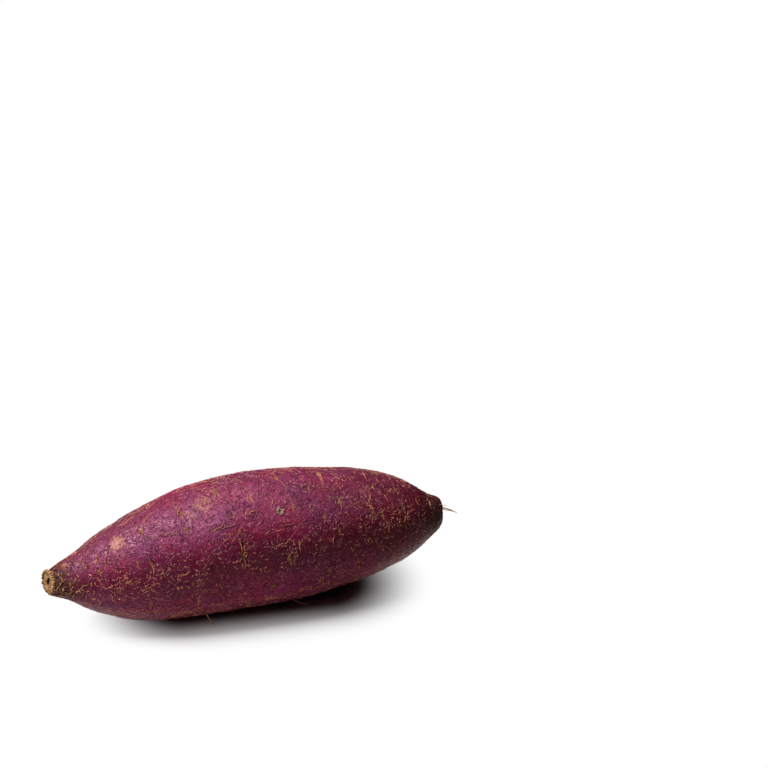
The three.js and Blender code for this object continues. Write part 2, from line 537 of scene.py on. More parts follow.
# %% Tuck the neck in behind the scar, but fill its lower side and hollow it a little further on
NECK_TUCK = 0.7
NECK_PULL = 1.1
NECK_FILL = 0.9
NECK_HOLLOW = 0.5
BELOW_CLOCK = 158
BELOW_SPREAD = 62

neck_below = bell((column_clock - BELOW_CLOCK + 180) % 360 - 180, BELOW_SPREAD)[None, :]
relief -= NECK_TUCK * (1 - fade_along(0.0, 0.02)) * (1 - neck_below)
relief += NECK_FILL * bell(row_share - 0.015, 0.02)[:, None] * neck_below
relief -= NECK_HOLLOW * bell(row_share - 0.06, 0.025)[:, None] * neck_below
print("relief before the eyes, mm:", relief.min().round(2), "to", relief.max().round(2))

# %% Square the top of the tip
TIP_TOP_SHARE = 0.986
TIP_TOP_CLOCK = -12
TIP_TOP_RISE = 2.3
TIP_TOP_WIDTH = 5.0
MM_PER_DEGREE = 0.1

along_from_top = along_mm[:, None] - np.interp(TIP_TOP_SHARE, row_share, along_mm)
round_from_top = MM_PER_DEGREE * (column_clock[None, :] - TIP_TOP_CLOCK)
away_from_tip_top = np.hypot(along_from_top, round_from_top)
relief += TIP_TOP_RISE * bell(away_from_tip_top, TIP_TOP_WIDTH)

# %% [markdown]
# ## Root eyes
# Side roots leave a storage root in rows along it, and each leaves an eye: a small pit with a raised
# corky rim, in a shallow dimple that the skin creases across. The rows that face the viewer are
# placed where this root has them, as a share of the length and a clock angle from the top towards
# the viewer. The rows behind and below are filled in at the same spacing, with a fixed seed.

# %% List the eyes
FACING_EYES = [
    # share of the length, clock angle in degrees, size
    (0.091, 19, 0.7), (0.124, 28, 0.7), (0.237, 19, 1.0), (0.330, 16, 1.3), (0.426, 4, 1.1), (0.583, -3, 1.1),
    (0.692, -8, 1.0), (0.813, 16, 0.7), (0.871, 17, 1.0), (0.922, 32, 0.6), (0.806, -11, 0.7),
    (0.126, 53, 0.8), (0.140, 43, 0.6), (0.337, 35, 1.0), (0.452, 34, 0.6), (0.458, 48, 0.6),
    (0.435, 50, 0.45), (0.598, 34, 0.8), (0.651, 16, 0.7), (0.640, 36, 0.6), (0.718, 34, 1.2),
    (0.670, 47, 0.9), (0.819, 52, 0.8),
    (0.066, 59, 0.7), (0.247, 61, 1.0), (0.464, 68, 1.2), (0.568, 78, 0.9), (0.598, 66, 0.8),
    (0.086, 118, 0.8), (0.235, 104, 1.0), (0.347, 107, 1.1), (0.528, 105, 1.2), (0.669, 98, 1.0),
    (0.086, -20, 0.8), (0.347, -22, 0.7),
]
HIDDEN_ROWS = (-50, -82, -112, -145, 172, 140)
FIRST_EYE = 0.08
LAST_EYE = 0.93

placing = random.Random(7)
eyes = list(FACING_EYES)
for clock in HIDDEN_ROWS:
    share = FIRST_EYE + placing.uniform(0, 0.08)
    while share < LAST_EYE:
        eyes.append((share, clock + placing.gauss(0, 5), placing.uniform(0.7, 1.15)))
        share += placing.uniform(0.11, 0.19)
eye_tilts = [placing.gauss(0, 0.2) for _ in eyes]
print(len(eyes), "root eyes")


# %% Press the eyes into the skin
def distances_from(along, turn):
    """Millimetres from a place on the skin to every net point: along, and round."""
    turn_away = (np.arange(COLUMNS) / COLUMNS - turn + 0.5) % 1.0 - 0.5
    return (along_mm - along)[:, None] * np.ones((1, COLUMNS)), turn_away[None, :] * row_girth[:, None]


OPEN_FROM = 0.6
OPEN_TO = 0.95
DIMPLE_DEPTH = 0.34
BROW_HEIGHT = 0.16
EYE_CREASE_DEPTH = 0.3
HOLE_DEPTH = 0.6

# The hole and crease masks are painted shade: the skin is darkened with them in and beside the open eyes and
# along the creases.
hole_shade_mask = np.zeros(net.shape[:2])
crease_shade_mask = np.zeros(net.shape[:2])
eye_relief = np.zeros(net.shape[:2])
for (share, clock, size), tilt in zip(eyes, eye_tilts):
    along, around = distances_from(*place_on(share, clock))
    across = along * math.cos(tilt) + around * math.sin(tilt)
    down = around * math.cos(tilt) - along * math.sin(tilt)
    distance = np.hypot(across, down)
    wander = 0.5 * np.sin(down / 1.9 + clock) + 0.35 * np.sin(down / 0.9 + share * 50)
    crease = bell(across + wander - 0.5, 0.7) * bell(down, 4.4 * size)
    brow = bell(across - 2.4 * size, 1.6) * bell(down, 4.5 * size)
    dimple = bell(np.hypot(across, down * 0.7), 4.0 * size)
    eye_relief += size * (BROW_HEIGHT * brow - DIMPLE_DEPTH * dimple) - EYE_CREASE_DEPTH * crease
    eye_relief -= HOLE_DEPTH * bell(distance, 0.75 * size)
    open_hole = smoothstep(OPEN_FROM, OPEN_TO, size) * bell(np.hypot(across - 0.8, down * 0.8), 0.8 * size)
    hole_shade_mask = np.maximum(hole_shade_mask, 0.8 * open_hole)
    crease_shade_mask = np.maximum(crease_shade_mask, 0.5 * crease)
relief += eye_relief * np.maximum(body, 0.4)
print("eye relief, mm:", eye_relief.min().round(2), "to", eye_relief.max().round(2))

# %% [markdown]
# ## Threads
# Where a fine side root lay against the yam it leaves a thread of dead tan skin, often from one eye to
# the next, and a narrow crease beside it. The threads that show most are set out one by one, by the
# places they pass through. The crease is pressed into the net here, and the thread itself is laid
# later, with the scurf.

# %% List the threads
THREADS = [
    # width in mm, depth of the crease beside it, places passed: share of the length, clock angle
    (0.34, 0.6, ((0.322, 3), (0.325, 9), (0.329, 15))),
    (0.36, 0.5, ((0.331, 18), (0.335, 22), (0.338, 24))),
    (0.34, 0.3, ((0.334, 19), (0.350, 20), (0.360, 20), (0.367, 18))),
    (0.28, 0.0, ((0.352, 21), (0.356, 25), (0.363, 30), (0.367, 33))),
    (0.3, 0.3, ((0.226, 5), (0.229, 11), (0.235, 20))),
    (0.34, 0.0, ((0.244, 14), (0.250, 7), (0.260, 2), (0.272, 2), (0.282, 1))),
    (0.28, 0.0, ((0.250, 7), (0.259, 8))),
    (0.3, 0.0, ((0.202, -9), (0.209, -3), (0.222, -7), (0.241, -15), (0.256, -10))),
    (0.26, 0.0, ((0.197, -4), (0.213, -6), (0.231, -9))),
    (0.3, 0.2, ((0.294, 21), (0.297, 25))),
    (0.26, 0.3, ((0.269, 19), (0.276, 16))),
    (0.26, 0.5, ((0.295, 35), (0.307, 35), (0.315, 34))),
    (0.3, 0.8, ((0.240, 47), (0.243, 57), (0.246, 62), (0.245, 72))),
    (0.36, 0.3, ((0.211, 49), (0.215, 54), (0.218, 59), (0.226, 61))),
    (0.34, 0.2, ((0.268, 63), (0.268, 68), (0.273, 72), (0.277, 74))),
    (0.3, 0.2, ((0.268, 68), (0.263, 70))),
    (0.34, 0.2, ((0.281, 64), (0.280, 67), (0.276, 68))),
    (0.34, 0.0, ((0.305, 74), (0.316, 75), (0.327, 73))),
    (0.3, 0.3, ((0.358, 82), (0.353, 86), (0.356, 90))),
    (0.26, 0.0, ((0.336, 82), (0.350, 82), (0.362, 84))),
    (0.36, 0.3, ((0.361, 91), (0.368, 97))),
    (0.3, 0.3, ((0.233, 95), (0.235, 103), (0.233, 112))),
    (0.3, 0.3, ((0.346, 98), (0.347, 107), (0.345, 116))),
    (0.32, 0.4, ((0.427, 37), (0.417, 41), (0.400, 42), (0.387, 43))),
    (0.34, 0.8, ((0.457, 55), (0.458, 60), (0.458, 64), (0.459, 67))),
    (0.26, 0.2, ((0.460, 70), (0.462, 76), (0.464, 80))),
    (0.3, 0.3, ((0.515, 54), (0.524, 50))),
    (0.3, 0.0, ((0.536, 50), (0.546, 53), (0.561, 52))),
    (0.36, 0.5, ((0.486, 35), (0.494, 33), (0.505, 33))),
    (0.5, 0.5, ((0.477, 36), (0.478, 38), (0.480, 40))),
    (0.4, 0.0, ((0.507, 14), (0.501, 19), (0.505, 23), (0.508, 27))),
    (0.3, 0.3, ((0.539, 31), (0.550, 29), (0.554, 25), (0.551, 21))),
    (0.28, 0.0, ((0.470, 18), (0.456, 21))),
    (0.24, 0.3, ((0.583, -3), (0.590, 3), (0.594, 12), (0.598, 18))),
    (0.2, 0.3, ((0.599, 22), (0.599, 30), (0.598, 42))),
    (0.28, 0.2, ((0.580, -11), (0.583, -4))),
    (0.2, 0.0, ((0.428, 6), (0.430, 8), (0.433, 16))),
    (0.18, 0.2, ((0.442, 20), (0.446, 25), (0.452, 34))),
    (0.18, 0.5, ((0.408, 44), (0.421, 43), (0.437, 43), (0.455, 42))),
    (0.16, 0.6, ((0.551, 49), (0.567, 49), (0.580, 49), (0.595, 49))),
    (0.36, 0.3, ((0.692, -14), (0.693, -6), (0.695, 3), (0.694, 13))),
    (0.3, 0.0, ((0.689, -6), (0.689, 4), (0.687, 12))),
    (0.3, 0.3, ((0.715, 26), (0.718, 34), (0.723, 40))),
    (0.28, 0.2, ((0.806, -11), (0.802, 6))),
    (0.28, 0.0, ((0.833, 25), (0.840, 32), (0.843, 36))),
    (0.34, 0.3, ((0.722, 46), (0.728, 44), (0.734, 48))),
    (0.36, 0.3, ((0.598, 62), (0.598, 68), (0.602, 74))),
    (0.4, 1.0, ((0.091, 20), (0.094, 26), (0.099, 33), (0.099, 40), (0.094, 42))),
    (0.36, 0.6, ((0.124, 29), (0.123, 34), (0.127, 38))),
    (0.3, 0.0, ((0.118, 4), (0.129, 3), (0.143, 3))),
    (0.26, 0.0, ((0.096, 8), (0.107, 6))),
    (0.45, 0.7, ((0.016, 86), (0.025, 68), (0.041, 55))),
    (0.45, 0.4, ((0.044, 108), (0.053, 96), (0.064, 82))),
    (0.42, 0.3, ((0.081, 75), (0.086, 73), (0.093, 72))),
    (0.4, 0.6, ((0.084, 86), (0.083, 92), (0.080, 100))),
    (0.4, 0.0, ((0.036, -15), (0.043, -2), (0.052, 6), (0.062, 14))),
    (0.36, 0.0, ((0.040, 8), (0.048, 12), (0.060, 14))),
    (0.34, 0.0, ((0.041, 22), (0.045, 16), (0.055, 14))),
    (0.46, 0.6, ((0.058, 16), (0.066, 14), (0.067, 20))),
]
THREAD_STATIONS = 13
CREASE_AWAY = 0.55
CREASE_WIDTH = 0.75
CREASE_DEPTH = 0.3


def columns_of(table, *wanted):
    """The wanted columns of a listed table, each as an array of numbers."""
    return [np.array([row[column] for row in table], dtype=float) for column in wanted]


def thread_course(places, count):
    """Distances along and shares of a turn at `count` even steps through the places of a thread."""
    along, turn = place_on(*columns_of(places, 0, 1))
    gone = np.concatenate([[0.0], np.cumsum(np.hypot(np.diff(along), np.diff(turn) * row_girth.max()))])
    steps = np.linspace(0, gone[-1], count)
    return np.interp(steps, gone, along), np.interp(steps, gone, turn)


thread_courses = [thread_course(places, THREAD_STATIONS) for _, _, places in THREADS]
thread_shade = np.zeros(net.shape[:2])
for (_, depth, _), (course_along, course_turn) in zip(THREADS, thread_courses):
    for along, turn in zip(course_along, course_turn):
        if depth:
            away_along, away_round = distances_from(along, turn)
            away = np.hypot(away_along - CREASE_AWAY, away_round - CREASE_AWAY)
            thread_shade = np.maximum(thread_shade, depth * bell(away, CREASE_WIDTH))
relief -= CREASE_DEPTH * thread_shade
# The crease field is also painted in as shade.
crease_shade_mask = np.maximum(crease_shade_mask, thread_shade)
print(len(THREADS), "threads")

# %% Move the net out by the relief
on_cut = row_number < SCAR_ROWS
relief[on_cut] = 0
skin_net = net + normals * relief[:, :, None]
skin_net[:, :, 0] += NECK_PULL * (1 - fade_along(0.0, 0.05)) * (1 - neck_below)
skin_net[:, :, 2] = np.maximum(skin_net[:, :, 2], 0.0)
skin_normals = net_normals(skin_net)

# %% [markdown]
# ## The skin mesh
# The net becomes one mesh of squares with a fan of triangles at each end. Two maps go with it: one
# in millimetres, along and round, that strokes are drawn on, and one that unrolls the skin into a
# square. The masks found above are stored on the points, for the material to read.

# %% Build the mesh
TIP_POLE_OUT = np.array((0.12, 0.0, 0.0))


def net_faces(row_count, column_count):
    """Squares over a net whose columns join up, and a fan to the pole at each end of it."""
    row, column = np.indices((row_count - 1, column_count))
    following = (column + 1) % column_count
    this_row, next_row = row * column_count, (row + 1) * column_count
    squares = np.stack([this_row + column, next_row + column, next_row + following, this_row + following], -1)
    around = np.arange(column_count)
    after = (around + 1) % column_count
    start_pole = np.full(column_count, row_count * column_count)
    last_row = (row_count - 1) * column_count
    start_fan = np.stack([start_pole, around, after], -1)
    end_fan = np.stack([last_row + around, start_pole + 1, last_row + after], -1)
    return squares.reshape(-1, 4).tolist() + start_fan.tolist() + end_fan.tolist()


def net_corners(row_count, column_count):
    """The row and the column of each corner of the squares, counted on past the last column."""
    row, column = np.indices((row_count - 1, column_count))
    return np.stack([row, row + 1, row + 1, row], -1), np.stack([column, column, column + 1, column + 1], -1)


def new_piece(name, points, faces, slot):
    """A smooth mesh from points in millimetres, riding on the root's one body."""
    mesh = bpy.data.meshes.new(name)
    mesh.from_pydata((points * MM).tolist(), [], faces)
    mesh.shade_smooth()
    piece = bpy.data.objects.new(name, mesh)
    bpy.context.scene.collection.objects.link(piece)
    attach(piece, "root")
    print(name, "has", sum(len(face) - 2 for face in faces), "triangles")
    return piece


poles = [skin_net[0].mean(axis=0), skin_net[-1].mean(axis=0) + TIP_POLE_OUT]
skin_points = np.concatenate([skin_net.reshape(-1, 3), poles])
skin = new_piece("skin", skin_points, net_faces(ROW_COUNT, COLUMNS), "skin")
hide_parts("tuber")


# %% Lay the two maps
def lay_map(piece, name, corner_groups):
    """A named map from groups of corner places, in the order of the faces."""
    layer = piece.data.uv_layers.new(name=name)
    corners = np.concatenate([group.reshape(-1, 2) for group in corner_groups])
    layer.uv.foreach_set("vector", corners.astype(np.float32).ravel())


corner_row, corner_column = net_corners(ROW_COUNT, COLUMNS)
corner_turn = corner_column / COLUMNS
columns = np.arange(COLUMNS)
start_turn = np.stack([columns + 0.5, columns, columns + 1], axis=-1) / COLUMNS
end_turn = np.stack([columns, columns + 0.5, columns + 1], axis=-1) / COLUMNS


def millimetres(row, turn):
    return np.stack([along_mm[row], (turn - 0.5) * row_girth[row]], axis=-1)


def unrolled(up, turn):
    return np.stack([0.005 + 0.99 * turn, 0.005 + 0.99 * up], axis=-1)


lay_map(skin, "surface_mm", [
    millimetres(corner_row, corner_turn),
    millimetres(np.zeros((COLUMNS, 3), int), start_turn),
    millimetres(np.full((COLUMNS, 3), ROW_COUNT - 1), end_turn),
])
row_up = (np.arange(ROW_COUNT) + 1) / (ROW_COUNT + 1)
lay_map(skin, "OFBake", [
    unrolled(row_up[corner_row], corner_turn),
    unrolled(np.tile([0.0, row_up[0], row_up[0]], (COLUMNS, 1)), start_turn),
    unrolled(np.tile([row_up[-1], 1.0, row_up[-1]], (COLUMNS, 1)), end_turn),
])
skin.data.uv_layers["OFBake"].active_render = True

# %% Store the masks on the points
PATCHES = [
    # share of the length, clock angle, radius in millimetres, strength: where the purple has rubbed off
    (0.178, 20, 4.2, 1.0),
    (0.386, 16, 7.0, 0.5),
    (0.050, 9, 1.8, 0.8),
    (0.45, 10, 6.0, 0.2),
    (0.30, -75, 6.0, 0.45),
    (0.62, -120, 5.0, 0.5),
    (0.80, -40, 4.0, 0.8),
    (0.45, 150, 5.0, 0.8),
]


def store(piece, name, values):
    """A number on each point of the piece, under a name that the material can read."""
    layer = piece.data.attributes.new(name, "FLOAT", "POINT")
    layer.data.foreach_set("value", np.asarray(values, np.float32).ravel())


patch_mask = np.zeros(net.shape[:2])
for share, clock, radius, strength in PATCHES:
    away = np.hypot(*distances_from(*place_on(share, clock)))
    patch_mask = np.maximum(patch_mask, strength * (1 - smoothstep(0.45 * radius, 1.3 * radius, away)))
underside = smoothstep(80, 125, np.abs(column_clock))[None, :] * np.ones((ROW_COUNT, 1))
# Painted shade: a dark band low on the side, for the material.
clean_side = bell(np.abs(column_clock) - 70, 20)[None, :] * fade_along(0.01, 0.08)
# Painted sheen on the top side, weaker towards the far side and the tip.
top_side = (1 - smoothstep(30, 62, np.abs(column_clock)))[None, :] * (1 - 0.85 * tip_side)
top_side = top_side * (0.35 + 0.65 * smoothstep(-28, 8, column_clock))[None, :]
# Dust and painted sheen along the far ridge towards the tip.
far_ridge = 1.1 * bell(column_clock + 33, 17)[None, :] * fade_along(0.5, 0.85)
# Painted shade on the far top.
far_top = bell(column_clock + 10, 18)[None, :] * bell(row_share - 0.42, 0.15)[:, None]
# Brown with painted shade along the far edge near the neck.
far_edge = bell(column_clock + 28, 30)[None, :] * (fade_along(0.03, 0.08) - fade_along(0.2, 0.36))

BLOOM_AND_HIGHLIGHT_ZONES = [
    # share of the length, clock angle, radius in millimetres, strength: where a pale lilac bloom and painted
    # highlight lie
    (0.40, 34, 10, 0.9), (0.50, 16, 7, 0.7), (0.36, 41, 7, 0.5), (0.29, 16, 8, 0.3), (0.20, 34, 7, 0.3),
    (0.13, 28, 7, 0.4), (0.56, 26, 7, 0.2), (0.62, -70, 14, 0.6), (0.35, -95, 12, 0.6),
]
PAINTED_SHADE_ZONES = [
    # share of the length, clock angle, radius in millimetres, strength: where slaty painted shade lies
    (0.608, 20, 6, 0.8), (0.714, 30, 7, 0.8), (0.450, 28, 5, 0.7), (0.654, 34, 7, 0.5),
    (0.24, 40, 6, 0.4), (0.475, 72, 3, 0.6),
]


def zone_mask(zones):
    """How strongly the soft round zones of a list cover each net point."""
    covered = np.zeros(net.shape[:2])
    for share, clock, radius, strength in zones:
        away = np.hypot(*distances_from(*place_on(share, clock)))
        covered = np.maximum(covered, strength * bell(away, radius))
    return covered


skin_masks = {
    "bloom_zone": zone_mask(BLOOM_AND_HIGHLIGHT_ZONES), "dusk_zone": zone_mask(PAINTED_SHADE_ZONES), "far_ridge": far_ridge,
    "far_top": far_top, "hole": hole_shade_mask, "crease": crease_shade_mask, "patch": patch_mask, "neck": neck,
    "tip": tip, "tip_side": tip_side, "underside": underside, "clean_side": clean_side,
    "top_side": top_side, "far_edge": far_edge,
}
for name, mask in skin_masks.items():
    at_the_poles = [name == "neck", name in ("tip", "tip_side")]
    store(skin, name, np.concatenate([np.clip(mask, 0, 1).ravel(), at_the_poles]))
print("masks:", [a.name for a in skin.data.attributes if a.data_type == "FLOAT"])

# %% [markdown]
# ## Effects that several finishes share
# Skin, cork, scurf and roots are all dead plant tissue with soil on it, so they share a few effects,
# each a node group with its sizes in millimetres: soft mottling, fine grain, winding wrinkles, short
# bent strokes, and dust. A group gives only a mask or a height. Colours and shaders stay in each
# material, where they can be told apart.

# %% Short ways to build groups and layers
def new_group(name, outputs, **numbers):
    """A node group that takes a vector and some numbers, with its inputs and outputs to wire between."""
    group = bpy.data.node_groups.new(name, "ShaderNodeTree")
    group.interface.new_socket(name="Vector", in_out="INPUT", socket_type="NodeSocketVector")
    for number, value in numbers.items():
        socket = group.interface.new_socket(name=number, in_out="INPUT", socket_type="NodeSocketFloat")
        socket.default_value = value
    for output in outputs:
        group.interface.new_socket(name=output, in_out="OUTPUT", socket_type="NodeSocketFloat")
    return group, group.nodes.new("NodeGroupInput").outputs, group.nodes.new("NodeGroupOutput").inputs


def use(tree, group, **inputs):
    """Place a group in a material and return its outputs."""
    node = tree.nodes.new("ShaderNodeGroup")
    node.node_tree = group
    for name, value in inputs.items():
        if isinstance(value, bpy.types.NodeSocket):
            tree.links.new(value, node.inputs[name])
        else:
            node.inputs[name].default_value = value
    return node.outputs


def layer(tree, mask, under, over):
    """The colour `over` laid on the colour `under` where the mask is 1."""
    return add(tree, "Mix", {0: mask, 6: under, 7: over}, data_type="RGBA").outputs[2]


def scaled(tree, vector, factor):
    return add(tree, "VectorMath", {0: vector, "Scale": factor}, operation="SCALE").outputs[0]


def vectors(tree, operation, first, second):
    return add(tree, "VectorMath", {0: first, 1: second}, operation=operation).outputs[0]


def place_in_grain(tree, given):
    """The given place turned from millimetres into grain sizes, moved aside by the seed."""
    sizes = scaled(tree, given["Vector"], calc(tree, "DIVIDE", 1.0, given["Size"]))
    return vectors(tree, "ADD", sizes, given["Seed"])


# %% Mottle and grain
mottle, given, result = new_group("mottle", ["Mask"], Size=10.0, Low=0.4, High=0.6, Seed=0.0)
cloud_inputs = {"Vector": place_in_grain(mottle, given), "Scale": 1.0, "Detail": 2.5, "Roughness": 0.55}
cloud = add(mottle, "TexNoise", cloud_inputs).outputs[0]
mottle.links.new(fade(mottle, cloud, given["Low"], given["High"]), result["Mask"])

grain, given, result = new_group("grain", ["Value"], Size=1.0, Seed=0.0)
grain_inputs = {"Vector": place_in_grain(grain, given), "Scale": 1.0, "Detail": 3.0, "Roughness": 0.7}
grain.links.new(add(grain, "TexNoise", grain_inputs).outputs[0], result["Value"])


def clouds(tree, vector, size, low, high, seed):
    """A mask of soft clouds, `size` millimetres across, that starts at `low` and is full at `high`."""
    return use(tree, mottle, Vector=vector, Size=size, Low=low, High=high, Seed=seed)["Mask"]


def grit(tree, vector, size, seed):
    """Fine grain, from 0 to 1, `size` millimetres across."""
    return use(tree, grain, Vector=vector, Size=size, Seed=seed)["Value"]


# %% Winding wrinkles: the level lines of a warped noise, broken into short lengths
wrinkles, given, result = new_group("winding_wrinkles", ["Ridges", "Grooves"], Size=1.0, Width=0.05, Seed=0.0)
wrinkle_place = place_in_grain(wrinkles, given)
warp = add(wrinkles, "TexNoise", {"Vector": wrinkle_place, "Scale": 0.7, "Detail": 1.0}).outputs[1]
warp_centred = vectors(wrinkles, "SUBTRACT", warp, (0.5, 0.5, 0.5))
warped = vectors(wrinkles, "ADD", wrinkle_place, scaled(wrinkles, warp_centred, 2.2))
winding = add(wrinkles, "TexNoise", {"Vector": warped, "Scale": 1.0, "Detail": 0.5}).outputs[0]
breaks = add(wrinkles, "TexNoise", {"Vector": wrinkle_place, "Scale": 0.55, "Detail": 1.0}).outputs[0]


def line_at(level, gone, whole):
    """A line where the winding noise passes a level, whole or gone as the noise of the breaks says."""
    away = calc(wrinkles, "ABSOLUTE", calc(wrinkles, "SUBTRACT", winding, level))
    return times(wrinkles, fade(wrinkles, away, given["Width"], 0.0), fade(wrinkles, breaks, gone, whole))


wrinkles.links.new(line_at(0.5, 0.44, 0.56), result["Ridges"])
wrinkles.links.new(line_at(0.38, 0.6, 0.46), result["Grooves"])

# %% Short bent strokes: one to a cell, each turned, bent and kept or dropped by its cell's colour
strokes, given, result = new_group(
    "bent_strokes", ["Mask", "Tone"], Size=3.0, Length=2.0, Width=0.4, Bend=0.4, Amount=0.5, Seed=0.0
)
cell_place = place_in_grain(strokes, given)
cell_inputs = {"Vector": cell_place, "Scale": 1.0, "Randomness": 1.0}
cells = add(strokes, "TexVoronoi", cell_inputs, voronoi_dimensions="2D").outputs
turn_chance, bend_chance, keep_chance = add(strokes, "SeparateColor", {0: cells["Color"]}).outputs
in_cell_mm = scaled(strokes, vectors(strokes, "SUBTRACT", cell_place, cells["Position"]), given["Size"])
turn_inputs = {"Vector": in_cell_mm, "Angle": times(strokes, turn_chance, 2 * math.pi)}
turned = add(strokes, "VectorRotate", turn_inputs, rotation_type="Z_AXIS").outputs[0]
stroke_x, stroke_y, _ = add(strokes, "SeparateXYZ", {0: turned}).outputs
stroke_bend = times(strokes, given["Bend"], calc(strokes, "SUBTRACT", bend_chance, 0.5))
bow = times(strokes, stroke_bend, calc(strokes, "POWER", stroke_x, 2.0))
bowed = calc(strokes, "SUBTRACT", stroke_y, bow)


def within(distance, size, firm):
    """1 up to the share `firm` of half a size away from the middle line, and 0 past half of it."""
    half = times(strokes, size, 0.5)
    return fade(strokes, calc(strokes, "ABSOLUTE", distance), half, times(strokes, half, firm))


kept = calc(strokes, "LESS_THAN", keep_chance, given["Amount"])
stroke_shape = times(strokes, within(stroke_x, given["Length"], 0.5), within(bowed, given["Width"], 0.3))
strokes.links.new(times(strokes, stroke_shape, kept), result["Mask"])
strokes.links.new(bend_chance, result["Tone"])

# %% Dust: soil left in soft clouds of fine grit
dust, given, result = new_group("soil_dust", ["Mask"], Amount=0.3, Seed=0.0)
dust_cloud = clouds(dust, given["Vector"], 7.0, 0.35, 0.75, given["Seed"])
dust_grit = fade(dust, grit(dust, given["Vector"], 0.5, given["Seed"]), 0.35, 0.65)
dust.links.new(times(dust, times(dust, dust_cloud, dust_grit), given["Amount"]), result["Mask"])


def dusting(tree, vector, amount, seed):
    """A mask of soil dust, up to `amount` strong."""
    return use(tree, dust, Vector=vector, Amount=amount, Seed=seed)["Mask"]


print("node groups:", [group.name for group in bpy.data.node_groups])


# %% A new material, with the surface in millimetres and a reader for stored masks
def new_material(name, roughness, pieces, specular=0.5):
    """A new material on the pieces: its tree, shader, place in millimetres and reader of stored masks."""
    material = bpy.data.materials.new(name)
    material.use_nodes = True
    for piece in pieces:
        piece.data.materials.append(material)
    tree = material.node_tree
    shader = tree.nodes["Principled BSDF"]
    shader.inputs["Roughness"].default_value = roughness
    shader.inputs["Specular IOR Level"].default_value = specular
    mm = scaled(tree, add(tree, "TexCoord").outputs["Object"], 1 / MM)

    def mask(stored):
        return add(tree, "Attribute", attribute_name=stored).outputs["Fac"]

    return tree, shader, mm, mask


def colour(red, green, blue):
    """A colour as it is measured on a screen, 0 to 255, in the linear values that a shader wants."""
    def linear(value):
        share = value / 255
        return share / 12.92 if share <= 0.04045 else ((share + 0.055) / 1.055) ** 2.4
    return (linear(red), linear(green), linear(blue), 1.0)


def bump(tree, shader, *heights):
    """Feed a height in millimetres, made of (value, millimetres) pairs, to the shader's normal."""
    total = None
    for value, millimetres_high in heights:
        part = times(tree, value, millimetres_high)
        total = part if total is None else calc(tree, "ADD", total, part)
    node = add(tree, "Bump", {"Strength": 1.0, "Distance": MM, "Height": total})
    tree.links.new(node.outputs["Normal"], shader.inputs["Normal"])


# %% [markdown]
# ## Skin
# The skin is crimson-purple where it is fresh and plum where it has a grey bloom. A burgundy band low
# on the side is painted shade, the top has a painted sheen, lilac zones are pale bloom with painted
# highlight and slaty zones painted shade. Winding wrinkles lie all over it: painted highlight makes their
# crests pinker and painted shade their grooves darker. Short tan strokes of dead skin are scattered over
# it, the eyes and the creases are painted in shade, rubbed patches show the tan layer beneath, the neck is
# earth-brown and the tip is brown, burgundy with painted shade on its side. Each of these is one
# layer of colour laid over the one before, so any of them can be changed alone.

# %% Colour the skin: purple ground, bloom, painted sheen, highlight and shade, and wrinkles
CRIMSON = colour(152, 26, 72)
PLUM = colour(132, 34, 84)
BURGUNDY = colour(104, 8, 40)
BLOOM = colour(150, 70, 112)
TOP_SHEEN = colour(146, 70, 104)
HIGHLIGHT_LILAC = colour(184, 100, 142)
SHADE_SLATE = colour(100, 48, 92)
CREST_HIGHLIGHT = colour(192, 92, 132)
GROOVE_SHADE = colour(58, 6, 26)

tree, shader, mm, mask = new_material("skin", 0.5, [skin], specular=0.25)
surface_mm = add(tree, "UVMap", uv_map="surface_mm").outputs[0]

ground = layer(tree, clouds(tree, mm, 24.0, 0.4, 0.62, 2.0), CRIMSON, PLUM)
dark_clouds = clouds(tree, mm, 11.0, 0.48, 0.7, 5.0)
ground = layer(tree, times(tree, dark_clouds, 0.5), ground, BURGUNDY)
small_clouds = clouds(tree, mm, 2.6, 0.42, 0.68, 9.0)
ground = layer(tree, times(tree, small_clouds, 0.14), ground, BURGUNDY)
bloom_clouds = clouds(tree, mm, 9.0, 0.5, 0.72, 13.0)
bloom_grit = grit(tree, mm, 0.9, 3.0)
bloom = times(tree, bloom_clouds, fade(tree, bloom_grit, 0.2, 0.9))
# Painted sheen on the top side.
ground = layer(tree, times(tree, mask("top_side"), 0.38), ground, TOP_SHEEN)
ground = layer(tree, times(tree, bloom, 0.5), ground, BLOOM)
# Pale bloom with painted highlight in the lilac zones.
ground = layer(tree, times(tree, mask("bloom_zone"), 0.45), ground, HIGHLIGHT_LILAC)
# Painted shade in the slaty zones.
ground = layer(tree, times(tree, mask("dusk_zone"), 0.6), ground, SHADE_SLATE)

drawn_out = vectors(tree, "MULTIPLY", mm, (0.85, 1.0, 1.0))
fine = use(tree, wrinkles, Vector=drawn_out, Size=1.8, Width=0.07, Seed=1.0)
broad = use(tree, wrinkles, Vector=drawn_out, Size=3.0, Width=0.055, Seed=17.0)
crests = most(tree, times(tree, fine["Ridges"], 0.75), broad["Ridges"])
furrows = most(tree, times(tree, fine["Grooves"], 0.7), broad["Grooves"])
# Painted highlight on the wrinkle crests, weaker in the painted dark band, and painted shade in the grooves.
crest_highlight_share = times(tree, crests, calc(tree, "SUBTRACT", 0.56, times(tree, mask("clean_side"), 0.36)))
ground = layer(tree, crest_highlight_share, ground, CREST_HIGHLIGHT)
ground = layer(tree, times(tree, furrows, 0.66), ground, GROOVE_SHADE)

